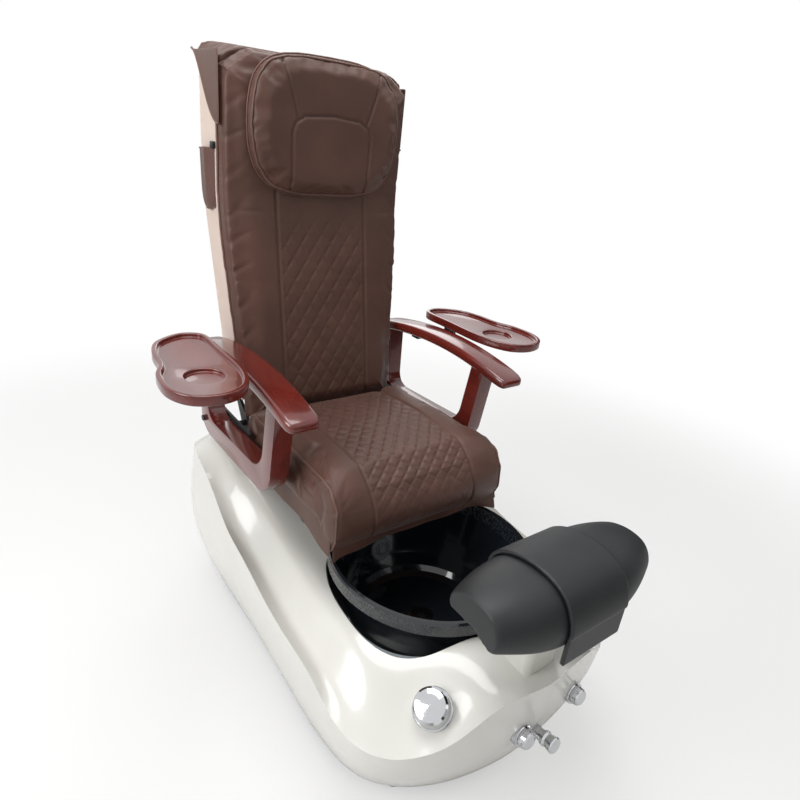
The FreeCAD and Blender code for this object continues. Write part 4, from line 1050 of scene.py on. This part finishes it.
@dataclass
class Back:
    """The reclining back: quilted cover, head pillow, hood, rear panel whose pale colour is a painted
    highlight, and side pocket.
    """

    lean_share: float = 0.62
    widen_share: float = 0.52
    lean: float = 0.090
    half_low: float = 0.235
    half_high: float = 0.264
    thick: float = 0.044
    shoulder: float = 0.070
    seam_x: float = 0.127
    inset: float = 0.006
    drop: float = 0.032
    seam_depth: float = 0.0046
    seam_width: float = 0.0034
    quilt_depth: float = 0.0022
    diamond_wide: float = 0.043
    diamond_long: float = 0.060
    tuck_depth: float = 0.0017
    pillow_seam: float = 0.0042

    def __post_init__(self) -> None:
        """Reads the boxes of the cushion, the pillow and the hood."""
        self.low, self.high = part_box("back_cushion")
        self.rise = self.high.z - self.low.z
        self.pillow_low, self.pillow_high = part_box("head_pillow")
        self.hood_low, self.hood_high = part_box("cover_hood")

    def front(self, z: float) -> float:
        """Where the padded face is at one height."""
        return self.low.y + self.lean * min(max((z - self.low.z) / (self.lean_share * self.rise), 0), 1)

    def half(self, z: float) -> float:
        """Half of the cushion's width at one height."""
        share = min(max((z - self.low.z) / (self.widen_share * self.rise), 0), 1)
        return self.half_low + (self.half_high - self.half_low) * share

    def build(self) -> None:
        """Builds every piece of the back and dresses its nodes."""
        POWDER.dress_node("back_frame")
        # The rear shell's pale leather colour is a painted highlight.
        PAINTED_HIGHLIGHT_LEATHER.dress_node("back_shell")
        STEEL.dress_node("massage_rails")
        cushion = self.cushion()
        self.pillow()
        self.hood()
        self.side_piping(cushion)
        self.pocket()

    def cushion(self) -> bpy.types.Object:
        """Sews and fills the long back cushion and presses its seams."""
        def shape(place: Vector) -> Vector:
            foot = self.low.z - self.drop
            z = foot + (place.z + 1) / 2 * (self.high.z - self.inset - foot)
            half = self.half(z) - self.inset
            over = z - (self.high.z - self.inset - self.shoulder)
            if over > 0:
                half -= self.shoulder - math.sqrt(max(self.shoulder**2 - over**2, 0))
            deep = self.thick - self.inset - (0.010 if place.z > 0.99 else 0)
            return Vector((place.x * half, self.front(z) + self.inset + (place.y + 1) / 2 * deep, z))

        piece = block("back_pad", 19, shape)
        round_edges(piece, 0.016, 3, 50)
        held = self.thick - 0.010
        Stuffing(0.007, 0.011).fill(piece, lambda x, y, z: y > self.fronts(z) + held)
        apply(piece, "SMOOTH", iterations=5, factor=SMOOTHING)
        carve(piece, self.seams)
        fit(piece, BROWN, "back", "seat_leather", "back_cushion")
        return piece

    def fronts(self, z: np.ndarray) -> np.ndarray:
        """Where the padded face is at many heights."""
        return self.low.y + self.lean * np.clip((z - self.low.z) / (self.lean_share * self.rise), 0, 1)

    def seams(self, x: np.ndarray, y: np.ndarray, z: np.ndarray) -> np.ndarray:
        """Depth of the long seams, the faint diamonds and the puckers at the side edges."""
        facing = ramp(self.fronts(z) + 0.030 - y, 0, 0.014)
        lines = groove(np.abs(x) - self.seam_x, self.seam_width) * ramp(self.pillow_low.z + 0.05 - z, 0, 0.03)
        field = ramp(self.seam_x - np.abs(x), 0.006, 0.014) * ramp(self.pillow_low.z - 0.03 - z, 0, 0.10)
        cells = quilt(x, z, self.diamond_wide, self.diamond_long)
        edge = ramp(np.abs(x), self.half_low - 0.055, self.half_low - 0.005)
        wander = 0.35 * np.sin(23 * z + 4 * np.sign(x)) + 0.2 * np.sin(61 * z)
        tucks = np.clip(np.sin(82 * z + 60 * np.abs(x) + 2 * wander), 0, 1) ** 3
        pressed = self.seam_depth * lines + self.quilt_depth * field * cells
        return facing * (pressed + self.tuck_depth * edge * tucks)

    def pillow_outline(self, grow: float) -> list[Vector]:
        """The head pillow's egg-like outline, grown by a distance, flat in y."""
        middle = (self.pillow_low.z + self.pillow_high.z) / 2
        tall = (self.pillow_high.z - self.pillow_low.z) / 2 + grow
        wide = self.pillow_high.x + grow
        line = []
        steps = 72
        for step in range(steps):
            turn = 2 * math.pi * step / steps
            across = math.copysign(abs(math.cos(turn)) ** 0.52, math.cos(turn))
            up = math.copysign(abs(math.sin(turn)) ** 0.56, math.sin(turn))
            taper = 1 - 0.11 * max(-up, 0) ** 1.6 - 0.04 * max(up, 0)
            line.append(Vector((wide * across * taper, 0, middle + tall * up)))
        return line

    def pillow(self) -> None:
        """Sews and fills the head pillow with its double piping."""
        back = self.pillow_high.y + 0.002
        face = self.pillow_low.y + 0.014
        piece = plate("headrest", [point + Vector((0, back, 0)) for point in self.pillow_outline(0.004)])
        extrude(piece, Vector((0, face - back, 0)))
        round_edges(piece, 0.008, 3, 50)
        Stuffing(0.005, 0.011, 3.0).fill(piece, lambda x, y, z: y > back - 0.006)
        apply(piece, "SMOOTH", iterations=14, factor=SMOOTHING)
        carve(piece, self.pillow_seams)
        fit(piece, BROWN, "back", "seat_leather", "head_pillow")
        for index, y in enumerate((face + 0.006, back - 0.008)):
            line = laid_on(piece, [point + Vector((0, y, 0)) for point in self.pillow_outline(0.009)], 0.0012)
            edge = cord(f"headrest_piping_{index + 1}", line, PIPING_RADIUS, True)
            fit(edge, TAN_EDGE, "back", "seat_leather")

    def pillow_seams(self, x: np.ndarray, y: np.ndarray, z: np.ndarray) -> np.ndarray:
        """Depth of the pillow's arch seam and of the two seams that run up from it."""
        low, tall = self.pillow_low.z, self.pillow_high.z - self.pillow_low.z
        arch = [(0.104, low - 0.01), (0.108, low + 0.46 * tall), (0.100, low + 0.535 * tall),
                (0.076, low + 0.585 * tall), (0.0, low + 0.605 * tall)]
        rising = [(0.094, low + 0.56 * tall), (0.118, low + 0.80 * tall), (0.136, low + tall)]
        across = np.abs(x)
        away = np.minimum(to_path(across, z, arch), to_path(across, z, rising))
        facing = ramp(self.pillow_high.y - 0.018 - y, 0, 0.006)
        return self.pillow_seam * facing * groove(away, STITCH)

    def hood(self) -> None:
        """Fills the hood on the top of the back and hangs its side flaps."""
        low, high = self.hood_low, self.hood_high

        def shape(place: Vector) -> Vector:
            across, deep, up = place.x, (place.y + 1) / 2, (place.z + 1) / 2
            y = low.y - 0.004 + deep * (high.y - low.y + 0.004)
            tip = max(abs(across) - 0.75, 0) / 0.25 * deep**3
            top = high.z - low.z - 0.006 - 0.010 * (1 - deep) ** 2 + 0.006 * tip
            narrow = 0.006 + 0.030 * max(up - 0.5, 0) * 2 * (1 - deep * 0.75) * abs(across) ** 3
            # The hood is pulled tight on the sitter's left, where its tip is tucked in.
            if across > 0:
                narrow += 0.030 * up * deep
            return Vector((across * (high.x - narrow), y + 0.004 * tip, low.z + 0.0008 + up * top))

        piece = block("hood_pad", 9, shape)
        round_edges(piece, 0.010, 3, 50)
        Stuffing(0.006, 0.007).fill(piece, lambda x, y, z: z < low.z + 0.005)
        apply(piece, "SMOOTH", iterations=8, factor=SMOOTHING)
        fit(piece, BROWN, "back", "seat_leather", "cover_hood")
        left = cloth("hood_flap_left", 20, 14, self.hang_flap, PIPING_RADIUS)
        right = mirrored(left, "hood_flap_right")
        reshape(left, self.tuck_in)
        for side, flap in ((Side.LEFT, left), (Side.RIGHT, right)):
            fit(flap, BROWN, "back", "seat_leather")
            line = [self.hang_flap(Vector((-1 + 2 * step / 40, -1, 0))) for step in range(41)]
            for point in line:
                point.x *= side.value
            if side is Side.LEFT:
                line = [self.tuck_in(point) for point in line]
            edge = cord(f"hood_piping_{side.word}", line, PIPING_RADIUS, False)
            fit(edge, TAN_EDGE, "back", "seat_leather")

    def tuck_in(self, place: Vector) -> Vector:
        """Draws the left flap's rear tip down and in, because that side of the hood is pulled tight."""
        back = 0.4 + 0.6 * ramp(place.y, self.hood_low.y, self.hood_high.y)
        return place + Vector((math.copysign(0.010, -place.x) * back, 0, -0.052 * back))

    def hang_flap(self, place: Vector) -> Vector:
        """Where a place of the left hood flap hangs, from its rear tip to the cushion's edge."""
        ahead, down = (place.x + 1) / 2, (1 - place.y) / 2
        low, high = self.hood_low, self.hood_high
        y = high.y + 0.003 - ahead * (high.y - low.y + 0.024)
        top = high.z - 0.020
        swing = 0.5 - 0.5 * math.cos(math.pi * min(ahead * 1.05, 1) ** 1.15)
        edge = top + 0.004 - 0.030 * ahead - 0.125 * swing
        bulge = 0.002 + 0.005 * math.sin(math.pi * ahead) * down
        return Vector((high.x - 0.001 + bulge, y, top + (edge - top) * down))

    def side_piping(self, cushion: bpy.types.Object) -> None:
        """Sews two lines of piping down each side, between the cover and the rear panel, whose pale colour is a
        painted highlight.
        """
        for side in Side:
            # The inner piping takes the pale leather, whose colour is a painted highlight.
            lines = ((0.001, -0.006, TAN_EDGE), (0.0005, 0.004, PAINTED_HIGHLIGHT_LEATHER))
            for index, (proud, behind, finish) in enumerate(lines):
                span = self.hood_low.z - 0.10 - self.low.z
                heights = [self.low.z + 0.02 + step / 60 * span for step in range(61)]
                line = [Vector((side.value * (self.half(z) - 0.002 - 0.006 * index),
                                self.front(z) + self.thick + behind, z)) for z in heights]
                if index == 0:
                    line = laid_on(cushion, line, proud)
                piece = cord(f"back_piping_{side.word}_{index + 1}", line, 0.0028, False)
                fit(piece, finish, "back", "seat_leather" if index == 0 else "back_panel")

    def pocket(self) -> None:
        """Sews the side pocket with its pleats, trim and toggle."""
        low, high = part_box("side_pocket")
        wall = -self.half(low.z) + 0.012

        def sew(place: Vector) -> Vector:
            ahead, up = (place.x + 1) / 2, (place.y + 1) / 2
            round_off = math.sqrt(max(1 - (max(0.38 - up, 0) / 0.38) ** 2, 0))
            span = (0.30 + 0.70 * round_off) * (high.y - low.y) / 2
            y = (low.y + high.y) / 2 + place.x * span + 0.006 * (1 - up)
            pleats = 0.0045 * abs(math.sin(2.5 * math.pi * ahead)) ** 0.7 * up
            out = 0.020 * math.sin(math.pi * min(max(ahead, 0), 1)) ** 0.6 * (0.35 + 0.65 * up ** 0.7)
            return Vector((wall - 0.001 - out + pleats, y, low.z + up * (high.z - low.z) - 0.008 * up * ahead))

        piece = cloth("pocket_pouch", 26, 20, sew, LEATHER_THICK)
        fit(piece, BROWN, "back", "seat_leather", "side_pocket")
        rim = [sew(Vector((-1 + 2 * step / 30, 1, 0))) for step in range(31)]
        around = ([sew(Vector((-1, 1 - 2 * step / 20, 0))) for step in range(20)]
                  + [sew(Vector((-1 + 2 * step / 20, -1, 0))) for step in range(20)]
                  + [sew(Vector((1, -1 + 2 * step / 20, 0))) for step in range(21)])
        for name, line in (("pocket_rim", rim), ("pocket_trim", around)):
            fit(cord(name, line, 0.0022, False), TAN_EDGE, "back", "seat_leather")
        bpy.ops.object.select_all(action="DESELECT")
        corner = rim[2]
        bpy.ops.mesh.primitive_cylinder_add(vertices=24, radius=0.007, depth=0.016,
                                            location=corner + Vector((-0.004, 0, 0.006)))
        toggle = name_active("pocket_toggle")
        hold(toggle)
        bpy.ops.object.transform_apply(location=True, rotation=True, scale=True)
        round_edges(toggle, 0.0025, 3, 50)
        smooth(toggle, 40)
        fit(toggle, BLACK_PLASTIC, "back", "black_plastic")


@dataclass
class Massage:
    """The massage carriage and its rollers."""

    def build(self) -> None:
        """Dresses the mechanism's nodes."""
        BLACK_PLASTIC.dress_node("massage_carriage")
        RUBBER.dress_node("kneading_rollers")


# ---------------------------------------------------------------- arms and trays


@dataclass
class Arms:
    """The lacquered arm pads and D-shaped loops."""

    edge: float = 0.009
    thick: float = 0.028

    def build(self) -> None:
        """Makes the left arm, mirrors it and dresses the brackets."""
        pad = self.pad()
        loop = self.loop()
        for side in Side:
            for piece, name in ((pad, "arm_pad"), (loop, "arm_loop")):
                made = piece if side is Side.LEFT else mirrored(piece, f"{name}_wood_right")
                fit(made, CHERRY, f"arm_{side.word}", "cherry_wood", f"{name}_{side.word}")
            BLACK_PLASTIC.dress_node(f"tray_bracket_{side.word}")

    def top_line(self, share: float) -> float:
        """Height of the pad's top from its front, 0, to its rear, 1."""
        _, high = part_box("arm_pad_left")
        crest = 0.46
        fall = 0.031 if share < crest else 0.038
        reach = crest if share < crest else 1 - crest
        return high.z - fall * ((share - crest) / reach) ** 2

    def pad(self) -> bpy.types.Object:
        """Planes the left arm pad: an arched plank with softened ends."""
        low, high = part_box("arm_pad_left")
        middle, half = (low.x + high.x) / 2, (high.x - low.x) / 2

        def shape(place: Vector) -> Vector:
            share = (place.y + 1) / 2
            end = max(abs(place.y) - 0.90, 0) / 0.10
            down = (1 - place.z) / 2
            z = self.top_line(share) - self.thick * down + 0.004 * end * down - 0.002 * end * (1 - down)
            return Vector((middle + place.x * half * (1 - 0.16 * end**2), low.y + share * (high.y - low.y), z))

        piece = block("arm_pad_wood_left", 29, shape)
        with editing(piece):
            bpy.ops.mesh.select_all(action="SELECT")
            bpy.ops.mesh.dissolve_limited(angle_limit=math.radians(0.3))
        round_edges(piece, self.edge, 4, 50)
        smooth(piece, 35)
        return piece

    def loop(self) -> bpy.types.Object:
        """Cuts the left loop from thick board and rounds it over."""
        low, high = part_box("arm_loop_left")
        front, rear, foot = low.y, high.y, low.z
        bar = 0.046
        top = 0.748
        outer = [(front + 0.002, top), (front + 0.028, foot + 0.051), (front + 0.070, foot + 0.010),
                 (rear - 0.052, foot), (rear - 0.010, foot + 0.027), (rear, top - 0.020)]
        inner = [(rear - 0.050, top - 0.020), (rear - 0.058, foot + bar + 0.025),
                 (rear - 0.084, foot + bar + 0.003),
                 (front + bar + 0.056, foot + bar + 0.016), (front + bar + 0.022, foot + bar + 0.050),
                 (front + bar, top)]
        piece = plate("arm_loop_wood_left", [Vector((low.x, y, z)) for y, z in outer + inner])
        pick(piece, Select.VERTICES, lambda place: place.z < 0.70)
        with editing(piece, Select.VERTICES):
            bpy.ops.mesh.bevel(offset=0.020, segments=6, affect="VERTICES")
        extrude(piece, Vector((high.x - low.x, 0, 0)))
        round_edges(piece, 0.011, 4, 50)
        smooth(piece, 35)
        return piece


@dataclass
class Trays:
    """The kidney-shaped manicure trays with a raised lip and a cup recess."""

    lip: float = 0.011
    floor: float = 0.009
    cup_radius: float = 0.040
    cup_depth: float = 0.008

    def build(self) -> None:
        """Makes the left tray and mirrors it."""
        left = self.tray()
        right = mirrored(left, "tray_wood_right")
        for side, piece in ((Side.LEFT, left), (Side.RIGHT, right)):
            fit(piece, CHERRY, f"tray_{side.word}", "cherry_wood", f"tray_{side.word}")

    def tray(self) -> bpy.types.Object:
        """Turns the left tray out of board."""
        low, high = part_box("tray_left")
        inner = low.x + 0.007
        cup = Vector((inner + 0.082, low.y + 0.123, 0))
        corners = [(inner, cup.y - 0.010), (inner, cup.y + 0.120), (inner, cup.y + 0.212),
                   (inner + 0.022, cup.y + 0.243),
                   (cup.x - 0.018, cup.y + 0.247), (cup.x + 0.038, cup.y + 0.209),
                   (cup.x + 0.062, cup.y + 0.150),
                   (cup.x + 0.070, cup.y + 0.074), (cup.x + 0.090, cup.y + 0.020),
                   (cup.x + 0.091, cup.y - 0.054),
                   (cup.x + 0.060, cup.y - 0.106), (cup.x, cup.y - 0.120), (inner + 0.028, cup.y - 0.090)]
        outline = smooth_path([Vector((x, y, low.z)) for x, y in corners], 7, True)
        piece = plate("tray_wood_left", outline)
        extrude(piece, Vector((0, 0, high.z - low.z)))
        pick(piece, Select.FACES, lambda place: place.z > high.z - 0.0001)
        with editing(piece):
            bpy.ops.mesh.inset(thickness=self.lip)
            bpy.ops.mesh.extrude_region_move(TRANSFORM_OT_translate={"value": (0, 0, -self.floor)})
        bpy.ops.object.select_all(action="DESELECT")
        depth = self.floor + self.cup_depth
        bpy.ops.mesh.primitive_cylinder_add(vertices=64, radius=self.cup_radius, depth=depth + 0.01,
                                            location=(cup.x, cup.y, high.z + 0.005 - depth / 2))
        cutter = name_active("cup_cutter")
        apply(piece, "BOOLEAN", operation="DIFFERENCE", object=cutter, solver="EXACT")
        bpy.data.objects.remove(cutter)
        round_edges(piece, 0.0034, 4, 50)
        smooth(piece, 35)
        return piece


# ---------------------------------------------------------------- studio


@dataclass
class Studio:
    """The pale floor, the soft lamps, the sky and the camera."""

    camera_at: tuple[float, float, float] = (-0.80034, -1.01036, 1.27875)
    yaw: float = 38.557
    pitch: float = 23.954
    roll: float = 6.515
    lens: float = 27.0
    sky: float = 0.42

    def build(self) -> None:
        """Sets up the studio."""
        self.floor()
        self.world()
        lamps = (("key_lamp", (-2.7, 0.1, 2.1), 1.8, 52), ("fill_lamp", (0.9, -2.9, 1.7), 2.4, 7),
                 ("top_lamp", (-0.2, 0.2, 3.3), 2.0, 44), ("back_lamp", (1.6, 2.8, 2.2), 2.0, 18))
        for name, place, size, power in lamps:
            self.lamp(name, Vector(place), size, power)
        self.card("front_card", Vector((1.5, -3.2, 1.3)), 5.0, 2.4)
        self.card("right_card", Vector((3.4, 0.4, 1.1)), 3.6, 2.0)
        self.camera()

    def floor(self) -> None:
        """Lays a pale floor that the camera sees as nearly white and that keeps the shadow."""
        bpy.ops.object.select_all(action="DESELECT")
        bpy.ops.mesh.primitive_plane_add(size=40)
        piece = name_active("studio_floor")
        recipe = Recipe("studio_floor")
        path = recipe.node("ShaderNodeLightPath")
        seen = Wire(recipe, path.outputs["Is Camera Ray"])
        haze = recipe.cloud(1.5, 2)
        colour = recipe.blend(haze, (0.80, 0.80, 0.80), (0.84, 0.84, 0.84))
        recipe.surface(Base_Color=colour, Roughness=0.8)
        glow = recipe.node("ShaderNodeEmission", inputs={"Color": (1, 1, 1, 1), "Strength": 1.0})
        x, y, _ = recipe.axes()
        far = (x * x + y * y).rise(1.5, 7.0)
        share = seen * (0.5 + 0.5 * far)
        both = recipe.node("ShaderNodeMixShader", inputs={0: share, 1: recipe.shader.outputs[0],
                                                          2: glow.outputs[0]})
        output = next(node for node in recipe.tree.nodes if node.type == "OUTPUT_MATERIAL")
        recipe.connect(output, {"Surface": both.outputs[0]})
        piece.data.materials.append(recipe.material)

    def world(self) -> None:
        """Makes the sky white to look at and soft as a light."""
        world = bpy.data.worlds.new("studio_sky")
        bpy.context.scene.world = world
        world.use_nodes = True
        tree = world.node_tree
        tree.nodes.clear()
        path = tree.nodes.new("ShaderNodeLightPath")
        seen = tree.nodes.new("ShaderNodeMath")
        seen.operation = "MAXIMUM"
        tree.links.new(path.outputs["Is Camera Ray"], seen.inputs[0])
        clear = tree.nodes.new("ShaderNodeMath")
        clear.operation = "MAXIMUM"
        tree.links.new(path.outputs["Is Glossy Ray"], clear.inputs[0])
        tree.links.new(path.outputs["Is Transmission Ray"], clear.inputs[1])
        tree.links.new(clear.outputs[0], seen.inputs[1])
        dim = tree.nodes.new("ShaderNodeBackground")
        dim.inputs["Color"].default_value = (1.0, 0.985, 0.965, 1)
        dim.inputs["Strength"].default_value = self.sky
        white = tree.nodes.new("ShaderNodeBackground")
        white.inputs["Color"].default_value = (1, 1, 1, 1)
        white.inputs["Strength"].default_value = 1.0
        both = tree.nodes.new("ShaderNodeMixShader")
        tree.links.new(seen.outputs[0], both.inputs[0])
        tree.links.new(dim.outputs[0], both.inputs[1])
        tree.links.new(white.outputs[0], both.inputs[2])
        output = tree.nodes.new("ShaderNodeOutputWorld")
        tree.links.new(both.outputs[0], output.inputs["Surface"])

    def lamp(self, name: str, place: Vector, size: float, power: float) -> None:
        """Hangs one soft lamp that looks at the chair.

        Args:
            name: The lamp's name.
            place: Where it hangs.
            size: Its width.
            power: Its watts.
        """
        bpy.ops.object.select_all(action="DESELECT")
        bpy.ops.object.light_add(type="AREA", location=place)
        lamp = name_active(name)
        lamp.data.shape = "DISK"
        lamp.data.size = size
        lamp.data.energy = power
        aim = Vector((0, 0, 0.6)) - place
        lamp.rotation_mode = "QUATERNION"
        lamp.rotation_quaternion = aim.to_track_quat("-Z", "Y")

    def card(self, name: str, place: Vector, wide: float, tall: float) -> None:
        """Stands a dark card where only reflections see it, so that bright metal has something to mirror.

        Args:
            name: The card's name.
            place: The middle of the card.
            wide: Its width.
            tall: Its height.
        """
        bpy.ops.object.select_all(action="DESELECT")
        turn = (Vector((0, 0, 0.7)) - place).to_track_quat("Z", "Y").to_euler()
        bpy.ops.mesh.primitive_plane_add(size=1, location=place, rotation=turn)
        piece = name_active(name)
        piece.scale = (wide, tall, 1)
        recipe = Recipe(name)
        recipe.surface(Base_Color=(0.03, 0.03, 0.03, 1), Roughness=0.9)
        piece.data.materials.append(recipe.material)
        for ray in ("camera", "diffuse", "shadow", "transmission", "volume_scatter"):
            setattr(piece, f"visible_{ray}", False)

    def camera(self) -> None:
        """Sets the camera at its place and turns it by yaw, pitch and roll."""
        data = bpy.data.cameras.new("studio_camera")
        camera = bpy.data.objects.new("studio_camera", data)
        bpy.context.scene.collection.objects.link(camera)
        data.lens = self.lens
        data.sensor_width = 36
        data.clip_start = 0.05
        turn = (Matrix.Rotation(math.radians(-self.yaw), 4,
                                "Z") @ Matrix.Rotation(math.radians(90 - self.pitch), 4, "X")
                @ Matrix.Rotation(math.radians(self.roll), 4, "Z"))
        camera.matrix_world = Matrix.Translation(self.camera_at) @ turn
        bpy.context.scene.camera = camera


def main() -> None:
    """Builds the chair and its studio."""
    logging.basicConfig(level=logging.INFO, format="%(message)s")
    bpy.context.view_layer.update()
    bpy.context.scene.view_settings.view_transform = "Standard"
    for part in (Base(), Footrest(), Seat(), Back(), Massage(), Arms(), Trays(), Studio()):
        part.build()


if __name__ == "__main__":
    main()
